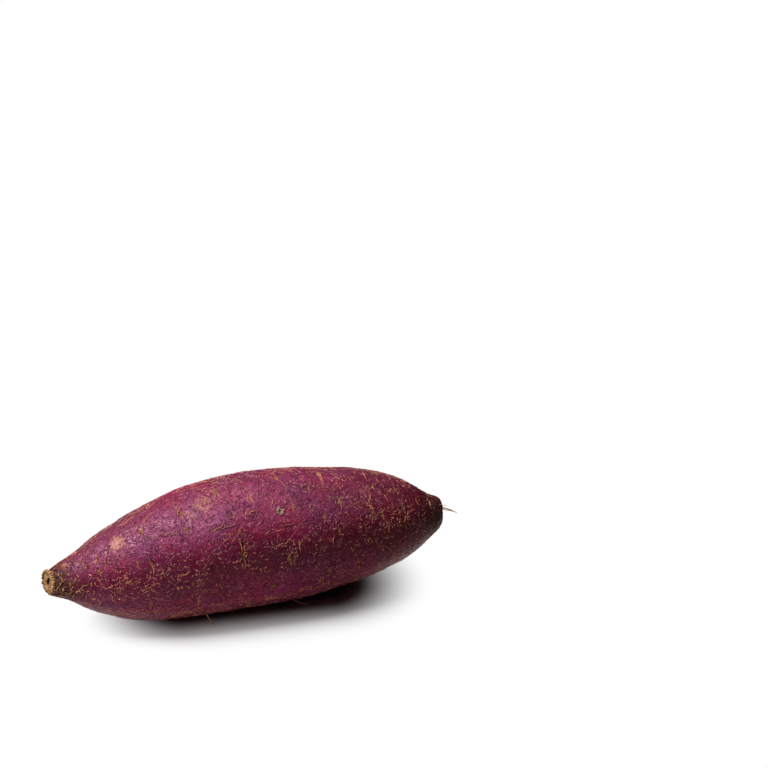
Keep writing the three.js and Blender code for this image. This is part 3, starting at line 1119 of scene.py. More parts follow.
# %% Brown the neck and the tip, darken the underside, and paint shade and sheen on the side band, far top, far edge, far ridge and tip side
BAND_SHADE = colour(96, 2, 34)
UNDERSIDE_DARK = colour(104, 18, 40)
RIDGE_DUST_AND_SHEEN = colour(158, 104, 104)
FAR_TOP_SHADE = colour(104, 42, 58)
NECK_BROWN = colour(102, 52, 38)
NECK_DARK = colour(42, 20, 14)
EDGE_BROWN_AND_SHADE = colour(98, 46, 54)
TIP_BROWN = colour(72, 34, 28)
TIP_BURGUNDY_AND_SHADE = colour(92, 20, 25)

# Painted shade: the dark band low on the side.
band_shade_cloud = clouds(tree, mm, 13.0, 0.1, 0.5, 19.0)
ground = layer(tree, times(tree, mask("clean_side"), band_shade_cloud, 0.72), ground, BAND_SHADE)
# Burgundy with painted shade towards the tip.
tip_side_cloud = clouds(tree, mm, 9.0, 0.2, 0.8, 23.0)
darker = times(tree, mask("tip_side"), calc(tree, "ADD", 0.5, times(tree, tip_side_cloud, 0.4)))
ground = layer(tree, darker, ground, TIP_BURGUNDY_AND_SHADE)
# Darker towards the underside.
darker_below = times(tree, mask("underside"), clouds(tree, mm, 8.0, 0.3, 0.6, 21.0))
ground = layer(tree, times(tree, darker_below, 0.5), ground, UNDERSIDE_DARK)
# Dust and painted sheen along the far ridge.
ridge_cloud = clouds(tree, drawn_out, 2.4, 0.3, 0.7, 27.0)
ground = layer(tree, times(tree, mask("far_ridge"), ridge_cloud, 0.85), ground, RIDGE_DUST_AND_SHEEN)
# Painted shade on the far top.
ground = layer(tree, times(tree, mask("far_top"), 0.34), ground, FAR_TOP_SHADE)
# Brown with painted shade along the far edge.
ground = layer(tree, times(tree, mask("far_edge"), 0.76), ground, EDGE_BROWN_AND_SHADE)
tip_cloud = clouds(tree, mm, 5.0, 0.2, 0.7, 25.0)
tip_patchy = calc(tree, "ADD", 0.45, times(tree, tip_cloud, 0.55))
tip_mask = times(tree, fade(tree, mask("tip"), 0.0, 0.8), tip_patchy)
ground = layer(tree, tip_mask, ground, TIP_BROWN)
lengthwise = vectors(tree, "MULTIPLY", mm, (0.3, 1.0, 1.0))
neck_cloud = clouds(tree, lengthwise, 2.6, 0.35, 0.6, 29.0)
neck_edge = times(tree, calc(tree, "SUBTRACT", neck_cloud, 0.5), 0.4)
neck_mask = fade(tree, calc(tree, "ADD", mask("neck"), neck_edge), 0.2, 0.92)
neck_colour = layer(tree, clouds(tree, lengthwise, 1.0, 0.42, 0.6, 33.0), NECK_BROWN, NECK_DARK)
ground = layer(tree, times(tree, neck_mask, 0.9), ground, neck_colour)

# %% Lay the rubbed patches, tan strokes and pale dots
TAN = colour(206, 154, 124)
TAN_PINK = colour(194, 128, 124)
OCHRE = colour(186, 120, 76)
PALE = colour(206, 146, 156)

feather = grit(tree, mm, 1.1, 41.0)
rubbed_edge = times(tree, calc(tree, "SUBTRACT", feather, 0.5), 1.5)
rubbed = fade(tree, calc(tree, "ADD", mask("patch"), rubbed_edge), 0.42, 0.62)
rubbed = times(tree, rubbed, fade(tree, mask("patch"), 0.02, 0.2))
patch_colour = layer(tree, clouds(tree, mm, 2.0, 0.4, 0.6, 45.0), TAN, TAN_PINK)
rubbed_threads = times(tree, mask("patch"), calc(tree, "ADD", crests, fade(tree, feather, 0.45, 0.65)))
rubbed = times(tree, most(tree, times(tree, rubbed, 0.75), rubbed_threads), 0.66)
ground = layer(tree, calc(tree, "MINIMUM", rubbed, 0.8), ground, patch_colour)

tan_clouds = clouds(tree, mm, 9.0, 0.36, 0.6, 49.0)
more_below = calc(tree, "ADD", 0.045, times(tree, fade(tree, mask("underside"), 0.0, 0.4), 0.04))
stroke_amount = times(tree, tan_clouds, more_below)
stroke_layers = [
    # cell, length and width in millimetres, share of the cells that have one, or None for as many as the
    # tan clouds say, strength, the two colours, seed
    # The first two layers are dark specks of painted shade.
    (2.3, 1.7, 0.5, 0.1, 0.5, GROOVE_SHADE, BURGUNDY, 211.0),
    (2.9, 0.8, 0.7, 0.07, 0.7, GROOVE_SHADE, GROOVE_SHADE, 251.0),
    (3.4, 2.9, 0.45, None, 0.75, OCHRE, TAN_PINK, 71.0),
    (1.9, 0.6, 0.5, None, 0.75, OCHRE, TAN_PINK, 137.0),
    (2.4, 0.7, 0.6, 0.16, 0.6, PALE, TAN_PINK, 307.0),
]
raised = []
for cell, length, width, amount, strength, one_end, other_end, seed in stroke_layers:
    amount = stroke_amount if amount is None else amount
    shape = {"Size": cell, "Length": length, "Width": width, "Bend": 1.6, "Amount": amount, "Seed": seed}
    stroke = use(tree, strokes, Vector=surface_mm, **shape)
    stroke_colour = layer(tree, stroke["Tone"], one_end, other_end)
    ground = layer(tree, times(tree, stroke["Mask"], strength), ground, stroke_colour)
    if one_end != GROOVE_SHADE:
        raised.append(stroke["Mask"])
stroke_height = most(tree, *raised)

# %% Paint shade into the creases, lay the dust, then paint shade into the eyes
HOLE_SHADE = colour(30, 8, 12)
CREASE_SHADE = colour(50, 8, 20)
SOIL = colour(128, 92, 74)

# Painted shade along the creases.
ground = layer(tree, times(tree, mask("crease"), 0.85), ground, CREASE_SHADE)
skin_dust = dusting(tree, mm, 0.03, 53.0)
ground = layer(tree, skin_dust, ground, SOIL)
# Painted shade in and beside the hole of each open eye.
ground = layer(tree, fade(tree, mask("hole"), 0.25, 0.75), ground, HOLE_SHADE)
tree.links.new(ground, shader.inputs["Base Color"])

# %% Roughness and fine relief of the skin
waxy = clouds(tree, mm, 6.0, 0.35, 0.7, 57.0)
roughness = add(tree, "MapRange", {"Value": waxy, "To Min": 0.32, "To Max": 0.46}).outputs[0]
rough_spots = most(tree, times(tree, stroke_height, 0.8), skin_dust, neck_mask, tip_mask)
tree.links.new(calc(tree, "ADD", roughness, times(tree, rough_spots, 0.25)), shader.inputs["Roughness"])
bump(
    tree, shader,
    (fine["Ridges"], 0.26), (broad["Ridges"], 0.4), (fine["Grooves"], -0.22), (broad["Grooves"], -0.36),
    (stroke_height, 0.14), (grit(tree, mm, 0.6, 61.0), 0.03),
    (times(tree, neck_mask, neck_cloud), 0.25),
)

# %% [markdown]
# ## Strips that lie on the skin
# Scurf, bristles, crusts and hair roots are all the same kind of shape: a small section carried along
# a short path. One function sweeps a section along many paths at once and makes them one closed
# mesh, and gives each strip its own small cell in the map, so that thousands of them can share a
# picture when the model is exported. Another function reads the skin anywhere, so a path can be
# planned in millimetres along and round the root and then laid down on it.

# %% Read any place on the skin
def on_skin(along, turn):
    """Points and unit normals of the skin at distances along it, in mm, and shares of a turn."""
    row = np.interp(along, along_mm, row_number)
    row_below = np.clip(row.astype(int), 0, ROW_COUNT - 2)
    row_share_above = (row - row_below)[..., None]
    column = (turn % 1.0) * COLUMNS
    column_below = column.astype(int) % COLUMNS
    column_above = (column_below + 1) % COLUMNS
    column_share = (column - np.floor(column))[..., None]

    def read(field):
        low = mix(field[row_below, column_below], field[row_below, column_above], column_share)
        high = mix(field[row_below + 1, column_below], field[row_below + 1, column_above], column_share)
        return mix(low, high, row_share_above)

    up = read(skin_normals)
    return read(skin_net), up / np.linalg.norm(up, axis=-1, keepdims=True)


def unit(vectors):
    return vectors / np.maximum(np.linalg.norm(vectors, axis=-1, keepdims=True), 1e-9)


def paths_on_skin(along, turn, headings, lengths):
    """Walk over the skin from each start: headings has one angle for each step, 0 is along the root."""
    steps = headings.shape[1] - 1
    pace = (lengths / steps)[:, None]
    zero = np.zeros((len(along), 1))
    walked_along = along[:, None] + np.hstack([zero, np.cumsum(np.cos(headings[:, :-1]) * pace, axis=1)])
    walked_along = np.clip(walked_along, along_mm[SCAR_ROWS], along_mm[-1])
    girth = np.interp(walked_along, along_mm, row_girth)
    walked_round = np.hstack([zero, np.cumsum(np.sin(headings[:, :-1]) * pace, axis=1)])
    return on_skin(walked_along, turn[:, None] + walked_round / girth)


def moved(along, turn, ahead_mm, round_mm):
    """A place on the skin moved by millimetres along and round the root."""
    return along + ahead_mm, turn + round_mm / np.interp(along, along_mm, row_girth)


# %% Sweep a section along many paths
def polar(angle):
    return np.stack([np.cos(angle), np.sin(angle)], axis=-1)


LOW_WEDGE = np.array([(-0.5, -0.2), (0.5, -0.2), (0.0, 0.5)])
SIX_SIDED = polar(np.arange(6) * math.pi / 3) * 0.5


def sweep(name, centres, sides, ups, section, tones, slot):
    """One piece of many strips. sides and ups are as long as the section is wide and high there."""
    strips, stations, _ = centres.shape
    corners = len(section)
    wide, high = section[:, 0, None], section[:, 1, None]
    points = centres[:, :, None] + sides[:, :, None] * wide + ups[:, :, None] * high
    points[..., 2] = np.maximum(points[..., 2], 0.0)
    strip, station, corner = np.indices((strips, stations - 1, corners))
    base = (strip * stations + station) * corners
    next_corner = (corner + 1) % corners
    next_base = base + corners
    wall = np.stack([base + corner, base + next_corner, next_base + next_corner, next_base + corner], -1)
    first = np.arange(strips)[:, None] * stations * corners
    start_caps = first + np.arange(corners)[::-1]
    end_caps = first + (stations - 1) * corners + np.arange(corners)
    faces = wall.reshape(-1, 4).tolist() + start_caps.tolist() + end_caps.tolist()
    piece = new_piece(name, points.reshape(-1, 3), faces, slot)
    store(piece, "tone", np.repeat(tones, stations * corners))
    station_share = np.tile(np.repeat(np.linspace(0, 1, stations), corners), strips)
    store(piece, "along_strip", station_share)

    side_cells = math.ceil(math.sqrt(strips))
    cell_corner = np.stack([np.arange(strips) % side_cells, np.arange(strips) // side_cells], -1) / side_cells
    wall_u = np.stack([station, station, station + 1, station + 1], -1) / (stations - 1) * 0.7 + 0.05
    wall_v = np.stack([corner, corner + 1, corner + 1, corner], -1) / corners * 0.9 + 0.05
    wall_map = cell_corner[:, None, None, None, :] + np.stack([wall_u, wall_v], -1) / side_cells
    cap_shape = polar(2 * math.pi * np.arange(corners) / corners) * 0.08
    start_map = cell_corner[:, None] + (cap_shape[::-1] + (0.88, 0.27)) / side_cells
    end_map = cell_corner[:, None] + (cap_shape + (0.88, 0.73)) / side_cells
    lay_map(piece, "OFBake", [wall_map, start_map, end_map])
    return piece


# %% [markdown]
# ## Scurf
# Dead skin comes off a root in short curled shreds, tan to cream, that lie flat and catch the light.
# They could be painted, but at this size each one has an edge and a shadow, so the larger ones are
# modelled: low three-sided strips that follow the skin, thickest in the middle. They gather in clumps,
# more low on the belly, along the far shoulder and towards the tip, and lie lengthwise in places.

# %% Where scurf gathers
CURL_COUNT = 3500
CLUMPS = [
    # share of the length, clock angle, radius in millimetres, strength
    (0.24, 84, 7, 1.5), (0.25, 104, 7, 1.0), (0.12, 95, 8, 0.6), (0.30, 68, 6, 0.9), (0.37, 86, 9, 0.9),
    (0.76, 20, 14, 0.3), (0.80, 34, 14, 0.4), (0.68, 2, 10, 0.4), (0.48, -8, 12, 0.6), (0.87, 50, 12, 0.35),
    (0.18, 58, 8, 0.6), (0.42, 10, 7, 0.7), (0.33, -60, 14, 1.2), (0.60, -90, 16, 1.2), (0.78, -130, 14, 1.2),
]

scatter = np.random.default_rng(11)


def curl_density(along, turn):
    """How thickly scurf lies at a place, from 0 to about 3."""
    share = np.interp(along, along_mm, row_share)
    clock = turn * 360 - 180
    girth = np.interp(along, along_mm, row_girth)
    low = smoothstep(40, 90, np.abs(clock)) * 0.42
    right = smoothstep(0.6, 0.8, share) * 0.06
    left = (smoothstep(0.06, 0.12, share) - smoothstep(0.12, 0.3, share)) * 0.15
    shoulder = bell(clock + 18, 22) * smoothstep(0.3, 0.42, share) * 0.3
    density = (0.22 + low + left + right + shoulder) * (0.3 + 0.7 * smoothstep(0.08, 0.16, share))
    for clump_share, clump_clock, radius, strength in CLUMPS:
        clump_along, clump_turn = place_on(clump_share, clump_clock)
        turn_away = (turn - clump_turn + 0.5) % 1.0 - 0.5
        density = density + strength * bell(np.hypot(along - clump_along, turn_away * girth), radius)
    points, _ = on_skin(along, turn)
    patchy = smoothstep(-0.25, 0.3, noise_field(points, 7.0, 81.0))
    return density * (0.25 + 0.75 * patchy) * girth / row_girth.max()


def scatter_places(count, first_share, last_share):
    """Seeded places on the skin, thick and thin as the density says."""
    along_range = place_on(first_share, 0)[0], place_on(last_share, 0)[0]
    along, turn = np.empty(0), np.empty(0)
    while len(along) < count:
        try_along = scatter.uniform(*along_range, 4 * count)
        try_turn = scatter.uniform(0, 1, 4 * count)
        kept = scatter.uniform(0, 2.2, 4 * count) < curl_density(try_along, try_turn)
        along, turn = np.concatenate([along, try_along[kept]]), np.concatenate([turn, try_turn[kept]])
    return along[:count], turn[:count]


# %% Lay the curls
CURL_STATIONS = 9


def wandering(count, stations, turn_by):
    """Headings that start anywhere and turn a little at each step, so that no two curls bend alike."""
    first = scatter.uniform(0, 2 * math.pi, count)
    drift = scatter.normal(0, 0.35 * turn_by, count)
    turns = scatter.normal(0, turn_by, (count, stations)) + drift[:, None]
    return first[:, None] + np.cumsum(turns, axis=1)


def bending(first, stations, turn_by):
    """Headings that start as given and turn a little at each step."""
    turns = scatter.normal(0, turn_by, (len(first), stations))
    return np.asarray(first)[:, None] + np.cumsum(turns, axis=1)


curl_along, curl_turn = scatter_places(CURL_COUNT, 0.035, 0.995)
curl_length = np.clip(scatter.lognormal(0.66, 0.4, CURL_COUNT), 0.9, 4.2)
curl_width = np.clip(scatter.lognormal(-1.13, 0.26, CURL_COUNT), 0.2, 0.6)
low_down = smoothstep(70, 100, np.abs(curl_turn * 360 - 180))
curl_length *= 1 - 0.3 * low_down
curl_width *= 1 + 0.3 * low_down
far_share = np.interp(curl_along, along_mm, row_share)
tangled = smoothstep(0.7, 0.76, far_share) * (1 - smoothstep(50, 70, np.abs(curl_turn * 360 - 180)))
curl_length *= 1 + 0.45 * tangled
curl_width *= 0.8 * (1 - 0.12 * tangled)
curl_headings = wandering(CURL_COUNT, CURL_STATIONS, 0.52)


def lay_strips(name, centres, up, widths, heights, tones, slot, lift=0.0):
    """Low strips along paths on the skin, widest in the middle and pointed at both ends.
    widths, heights, tones and lift are each one number for all the strips or one for each."""
    strips, stations, _ = centres.shape
    widths, heights, tones, lift = (np.asarray(v) * np.ones(strips) for v in (widths, heights, tones, lift))
    share = np.linspace(0, 1, stations)
    taper = 0.25 + 0.75 * np.sin(math.pi * np.clip(share, 0.04, 0.96)) ** 0.6
    ahead = unit(np.gradient(centres, axis=1))
    side = unit(np.cross(up, ahead))
    arch = lift[:, None] * np.sin(math.pi * share) ** 2
    centres = centres + up * arch[:, :, None]
    wide = side * (widths[:, None] * taper)[:, :, None]
    high = up * (heights[:, None] * taper)[:, :, None]
    return sweep(name, centres, wide, high, LOW_WEDGE, tones, slot)


# A small share of the flecks is set pale as painted glints.
PAINTED_GLINT_SHARE = 0.05


def pinker_on_top(turn):
    """Tones from 0 for ochre to 1 for pale pink: dead skin is pinker where no soil has lain on it. A few are
    set pale as painted glints.
    """
    top = 1 - smoothstep(40, 95, np.abs(turn * 360 - 180))
    tones = scatter.uniform(0, 0.5, len(turn)) * (1 + 0.2 * top) + 0.38 * top
    return np.where(scatter.uniform(0, 1, len(turn)) < PAINTED_GLINT_SHARE, 0.96, tones)


curl_lift = np.where(scatter.uniform(0, 1, CURL_COUNT) < 0.35, scatter.uniform(0.05, 0.25, CURL_COUNT), 0.0)
curl_tone = pinker_on_top(curl_turn) * (1 - 0.65 * tangled)
curl_length = np.where(curl_tone > 0.9, np.minimum(curl_length, 1.3), curl_length)
curl_paths = paths_on_skin(curl_along, curl_turn, curl_headings, curl_length)
curls = lay_strips("scurf_curls", *curl_paths, curl_width, 0.9 * curl_width, curl_tone, "scurf", curl_lift)

# %% Lay the small shreds between them
SHRED_COUNT = 2600
SHRED_STATIONS = 5

shred_along, shred_turn = scatter_places(SHRED_COUNT, 0.03, 0.998)
shred_length = np.clip(scatter.lognormal(0.12, 0.35, SHRED_COUNT), 0.6, 2.4)
shred_headings = wandering(SHRED_COUNT, SHRED_STATIONS, 0.55)
shred_width = scatter.uniform(0.26, 0.48, SHRED_COUNT)
shred_height = scatter.uniform(0.2, 0.42, SHRED_COUNT)
shred_tone = pinker_on_top(shred_turn)
PALE_DOTS = [
    # share of the length, clock angle, length and width in millimetres: flecks that have gone pale
    (0.554, 5, 1.0, 0.6), (0.562, 9, 0.9, 0.7), (0.507, 12, 1.0, 0.7), (0.567, 27, 0.8, 0.6),
    (0.425, 56, 0.8, 0.6), (0.405, 59, 0.8, 0.6), (0.364, 44, 0.8, 0.6), (0.518, 62, 0.8, 0.6),
    (0.470, -4, 0.8, 0.5), (0.923, 7, 1.0, 0.7), (0.477, 36, 1.6, 0.6), (0.251, 25, 0.8, 0.6),
    (0.206, 39, 0.8, 0.8), (0.113, 19, 0.6, 0.6), (0.72, 12, 1.1, 0.5), (0.77, 4, 1.0, 0.5),
    (0.62, 4, 1.0, 0.5),
]
for i, (share, clock, length, width) in enumerate(PALE_DOTS):
    shred_along[i], shred_turn[i] = place_on(share, clock)
    shred_length[i], shred_width[i], shred_height[i], shred_tone[i] = length, width, 0.5 * width, 0.92
shred_paths = paths_on_skin(shred_along, shred_turn, shred_headings, shred_length)
shreds = lay_strips("scurf_shreds", *shred_paths, shred_width, shred_height, shred_tone, "scurf")

# %% Lay the lengthwise streaks
STREAK_BANDS = [
    # first and last share of the length, clock angle, spread in degrees, count
    (0.06, 0.30, -17, 7, 26), (0.24, 0.46, -18, 6, 20), (0.18, 0.60, 120, 5, 60), (0.55, 0.90, -22, 7, 30),
    (0.60, 0.88, 118, 6, 26), (0.10, 0.90, -120, 9, 60),
]
STREAK_STATIONS = 9
STREAK_HEIGHT = 0.12

streak_share, streak_clock = [], []
for first_share, last_share, clock, spread, count in STREAK_BANDS:
    streak_share.append(scatter.uniform(first_share, last_share, count))
    streak_clock.append(scatter.normal(clock, spread, count))
streak_along, streak_turn = place_on(np.concatenate(streak_share), np.concatenate(streak_clock))
streak_count = len(streak_along)
streak_length = scatter.uniform(2.5, 10.0, streak_count)
streak_headings = scatter.normal(0, 0.16, streak_count)[:, None]
streak_headings = streak_headings + scatter.normal(0, 0.12, (streak_count, STREAK_STATIONS))
streak_paths = paths_on_skin(streak_along, streak_turn, streak_headings, streak_length)
streak_width = scatter.uniform(0.16, 0.28, streak_count)
streak_tone = scatter.uniform(0.0, 0.7, streak_count)
streaks = lay_strips("scurf_streaks", *streak_paths, streak_width, STREAK_HEIGHT, streak_tone, "scurf")

# %% Lay a thread out of each side of each eye
EYE_THREAD_STATIONS = 9
EYE_THREAD_HEIGHT = 0.2
EYE_THREAD_LIFT = 0.1

eye_thread_starts = []
for (share, clock, size), tilt in zip(eyes, eye_tilts):
    for way in (-1, 1):
        along, turn = moved(*place_on(share, clock), 0.0, way * 0.9 * size)
        first_heading = way * math.pi / 2 + tilt + scatter.normal(0, 0.3)
        eye_thread_starts.append((along, turn, first_heading, size * scatter.uniform(1.5, 4.5)))
start_along, start_turn, first_headings, eye_thread_length = columns_of(eye_thread_starts, 0, 1, 2, 3)
eye_thread_headings = bending(first_headings, EYE_THREAD_STATIONS, 0.25)
eye_thread_paths = paths_on_skin(start_along, start_turn, eye_thread_headings, eye_thread_length)
eye_thread_width = scatter.uniform(0.22, 0.36, len(start_along))
eye_thread_tone = scatter.uniform(0, 0.45, len(start_along))
eye_threads = lay_strips(
    "eye_threads", *eye_thread_paths, eye_thread_width, EYE_THREAD_HEIGHT, eye_thread_tone, "scurf",
    EYE_THREAD_LIFT,
)

# %% Lay the listed threads, those on the neck in cork
THREAD_LIFT = 0.12

course_along, course_turn = (np.array(courses) for courses in zip(*thread_courses))
waver = np.cumsum(scatter.normal(0, 0.12, (2, *course_along.shape)), axis=2)
on_neck = course_along[:, 0] < place_on(0.12, 0)[0]
listed_width, crease_depth = columns_of(THREADS, 0, 1)
thread_width = np.where(on_neck, 1.1, 1.05) * listed_width
thread_along = course_along + waver[0]
thread_turn = course_turn + waver[1] / row_girth.max()


def lay_threads(name, chosen, thick, slot):
    """The chosen threads, `thick` times as high as they are wide."""
    paths = on_skin(thread_along[chosen], thread_turn[chosen])
    width = thread_width[chosen]
    tones = scatter.uniform(0.0, 0.45, len(width))
    return lay_strips(name, *paths, width, thick * width, tones, slot, THREAD_LIFT)


threads = lay_threads("root_threads", ~on_neck, 0.7, "scurf")
neck_threads = lay_threads("neck_threads", on_neck, 1.0, "cork")

# %% Draw a painted shadow line beside the crease of each deep thread
DEEP_ENOUGH = 0.4
LINE_HEIGHT = 0.08

creased = crease_depth >= DEEP_ENOUGH
line_along = thread_along[creased] + CREASE_AWAY
line_turn = thread_turn[creased] + CREASE_AWAY / row_girth.max()
line_width = 0.22 + 0.34 * np.minimum(crease_depth[creased], 0.8)
line_paths = on_skin(line_along, line_turn)
crease_lines = lay_strips("crease_lines", *line_paths, line_width, LINE_HEIGHT, 0.0, "skin")

# %% Scatter short dark dashes of painted shade among the scurf
DASH_COUNT = 620
DASH_STATIONS = 5
DASH_HEIGHT = 0.07
SHADOW_LINE_COLOUR = colour(46, 8, 20)

dash_along, dash_turn = scatter_places(DASH_COUNT, 0.03, 0.995)
dash_headings = bending(scatter.normal(0, 0.7, DASH_COUNT), DASH_STATIONS, 0.3)
dash_paths = paths_on_skin(dash_along, dash_turn, dash_headings, scatter.uniform(0.7, 2.4, DASH_COUNT))
dash_width = scatter.uniform(0.3, 0.65, DASH_COUNT)
shade_dashes = lay_strips("skin_gaps", *dash_paths, dash_width, DASH_HEIGHT, 0.0, "skin")
_, shader, _, _ = new_material("crease_shadow", 0.7, [crease_lines, shade_dashes], specular=0.2)
shader.inputs["Base Color"].default_value = SHADOW_LINE_COLOUR

# %% Feather the rubbed patches
PATCH_FEATHERS = [
    # share of the length, clock angle, radius in millimetres, count, outward or all about one way
    (0.178, 20, 4.6, 90, True), (0.386, 16, 7.0, 34, False), (0.050, 8, 2.0, 8, False),
    (0.50, 18, 4.5, 12, False),
]
FEATHER_STATIONS = 6
FEATHER_HEIGHT = 0.24
ONE_WAY = 1.2

feather_starts = []
for share, clock, radius, count, outward_only in PATCH_FEATHERS:
    way = scatter.uniform(0, 2 * math.pi, count)
    reach = radius * scatter.uniform(0.1, 0.9, count)
    along, turn = moved(*place_on(share, clock), reach * np.cos(way), reach * np.sin(way))
    first_way = (way if outward_only else ONE_WAY) + scatter.normal(0, 0.5, count)
    feather_starts.append((along, turn, first_way))
feather_along, feather_turn, feather_way = np.hstack(feather_starts)
feather_count = len(feather_along)
feather_headings = bending(feather_way, FEATHER_STATIONS, 0.3)
feather_length = scatter.uniform(1.0, 3.2, feather_count)
feather_paths = paths_on_skin(feather_along, feather_turn, feather_headings, feather_length)
feather_width = scatter.uniform(0.26, 0.5, feather_count)
feather_tone = scatter.uniform(0, 1, feather_count)
feathers = lay_strips("patch_feathers", *feather_paths, feather_width, FEATHER_HEIGHT, feather_tone, "scurf")

# %% Colour the scurf
SCURF_TONES = [
    (0.0, colour(232, 146, 92)), (0.3, colour(238, 160, 116)), (0.6, colour(222, 158, 136)),
    (0.9, colour(220, 158, 152)), (1.0, colour(240, 200, 194)),
]
SCURF_ENDS = colour(128, 60, 62)
SCURF_SOIL = colour(96, 60, 40)
FEATHER_TAN = colour(200, 130, 100)
FEATHER_PINK = colour(218, 154, 138)

scurf_pieces = [curls, shreds, streaks, eye_threads, threads]
tree, shader, mm, mask = new_material("scurf", 0.75, scurf_pieces, specular=0.2)
tone_node = add(tree, "ValToRGB", {0: mask("tone")})
tone_ramp = tone_node.color_ramp
tone_ramp.elements[0].position, tone_ramp.elements[0].color = SCURF_TONES[0]
tone_ramp.elements[1].position, tone_ramp.elements[1].color = SCURF_TONES[-1]
for position, tone_colour in SCURF_TONES[1:-1]:
    tone_ramp.elements.new(position).color = tone_colour
ends = fade(tree, calc(tree, "ABSOLUTE", calc(tree, "SUBTRACT", mask("along_strip"), 0.5)), 0.3, 0.5)
scurf_colour = layer(tree, times(tree, ends, 0.5), tone_node.outputs[0], SCURF_ENDS)
scurf_colour = layer(tree, dusting(tree, mm, 0.12, 5.0), scurf_colour, SCURF_SOIL)
tree.links.new(scurf_colour, shader.inputs["Base Color"])
bump(tree, shader, (grit(tree, mm, 0.3, 7.0), 0.04))

tree, shader, _, mask = new_material("patch_feather", 0.75, [feathers], specular=0.2)
feather_colour = layer(tree, mask("tone"), FEATHER_TAN, FEATHER_PINK)
tree.links.new(feather_colour, shader.inputs["Base Color"])

# %% [markdown]
# ## Crusts round the eyes and crumbs on the neck
# Each eye has a broken ring of cork round its hole, ochre and rough. The neck is scattered with crumbs
# of the same cork, larger and closer together towards the cut. A ring is a strip swept round in a
# circle, and a crumb is a very short fat strip.

# %% Sweep the rings
RING_STATIONS = 15
RING_REACH = 0.72
RING_WIDER_ROUND = 1.2
RING_THICKNESS = 0.54
RING_LIFT = 0.1
RING_FLATNESS = 1.1


def lay_lumps(name, centres, up, thick, lift, flatness):
    """Six-sided strips of cork, raised by `lift` and `flatness` times as high as they are wide."""
    side = unit(np.cross(up, unit(np.gradient(centres, axis=1))))
    tones = scatter.uniform(0, 1, len(centres))
    return sweep(name, centres + up * lift, side * thick, up * thick * flatness, SIX_SIDED, tones, "cork")


ring_angle = np.linspace(0, 2 * math.pi, RING_STATIONS)
eye_along, eye_turn = place_on(*columns_of(eyes, 0, 1))
eye_size = columns_of(eyes, 2)[0]
ring_wobble = scatter.uniform(0.8, 1.3, (len(eyes), RING_STATIONS))
ring_wobble[:, -1] = ring_wobble[:, 0]
ring_radius = RING_REACH * eye_size[:, None] * ring_wobble
ring_moves = ring_radius * np.cos(ring_angle), RING_WIDER_ROUND * ring_radius * np.sin(ring_angle)
ring_centres, ring_up = on_skin(*moved(eye_along[:, None], eye_turn[:, None], *ring_moves))
ring_lumps = scatter.uniform(0.35, 1.5, (len(eyes), RING_STATIONS))
ring_thick = (RING_THICKNESS * eye_size[:, None] * ring_lumps)[:, :, None]
ring_thick[:, -1] = ring_thick[:, 0]
rings = lay_lumps("eye_crusts", ring_centres, ring_up, ring_thick, RING_LIFT, RING_FLATNESS)

# %% Set a dark disc of painted shade in each ring
HOLE_LEVELS = np.array([-0.2, 0.1])[None, :, None]
HOLE_TAPER = np.array([1.0, 0.8])[None, :, None]
HOLE_ASIDE = 0.12

hole_place, hole_up = on_skin(*moved(eye_along, eye_turn, HOLE_ASIDE, HOLE_ASIDE))
hole_side = unit(np.cross(hole_up, straight_ahead))
hole_across = np.cross(hole_side, hole_up)
hole_wide = (0.9 * eye_size * smoothstep(OPEN_FROM, OPEN_TO, eye_size) + 0.05)[:, None, None] * HOLE_TAPER
hole_centres = hole_place[:, None] + hole_up[:, None] * HOLE_LEVELS
hole_tone = scatter.uniform(0, 1, len(eyes))
hole_shades = sweep(
    "eye_holes", hole_centres, hole_side[:, None] * hole_wide, hole_across[:, None] * hole_wide,
    SIX_SIDED, hole_tone, "cork",
)

# %% Scatter the crumbs
CRUMB_STATIONS = 4
NECK_CRUMBS = 46
EYE_CRUMBS_EACH = 2
BODY_CRUMBS = 160
KNOBS = [
    # share of the length, clock angle, size in millimetres: the largest crumbs
    (0.089, 0, 1.1), (0.062, -22, 1.3), (0.031, 130, 1.2), (0.066, 132, 1.2), (0.126, 53, 1.1),
    (0.033, 85, 1.1), (0.052, 64, 1.1), (0.06, 75, 0.9), (0.03, 60, 1.0), (0.026, 40, 1.0),
    (0.43, -20, 1.2), (0.69, -28, 0.8),
]

neck_share = scatter.beta(0.9, 3.0, NECK_CRUMBS) * 0.15 + 0.006
neck_crumb_along, neck_crumb_turn = place_on(neck_share, scatter.uniform(-180, 180, NECK_CRUMBS))
beside_eye = scatter.normal(0, 1.5, (2, len(eyes), EYE_CRUMBS_EACH))
beside_eye[:, :, 0] = 0
eye_crumb_along, eye_crumb_turn = moved(eye_along[:, None], eye_turn[:, None], *beside_eye)
body_crumb_along, body_crumb_turn = scatter_places(BODY_CRUMBS, 0.1, 0.99)
knob_along, knob_turn = place_on(*columns_of(KNOBS, 0, 1))
crumb_along = np.concatenate([neck_crumb_along, eye_crumb_along.ravel(), body_crumb_along, knob_along])
crumb_turn = np.concatenate([neck_crumb_turn, eye_crumb_turn.ravel(), body_crumb_turn, knob_turn])
crumb_count = len(crumb_along)
crumb_size = np.clip(scatter.lognormal(-0.72, 0.35, crumb_count), 0.25, 0.95)
crumb_size[:NECK_CRUMBS] *= 1.25
crumb_size[-len(KNOBS):] = columns_of(KNOBS, 2)[0]
first_of_eye = NECK_CRUMBS + EYE_CRUMBS_EACH * np.arange(len(eyes))
crumb_size[first_of_eye] = np.where(eye_size < OPEN_TO, 0.9 * eye_size, 0.3)
crumb_headings = scatter.uniform(0, 2 * math.pi, crumb_count)[:, None] * np.ones((1, CRUMB_STATIONS))
crumb_length = crumb_size * scatter.uniform(0.9, 2.2, crumb_count)
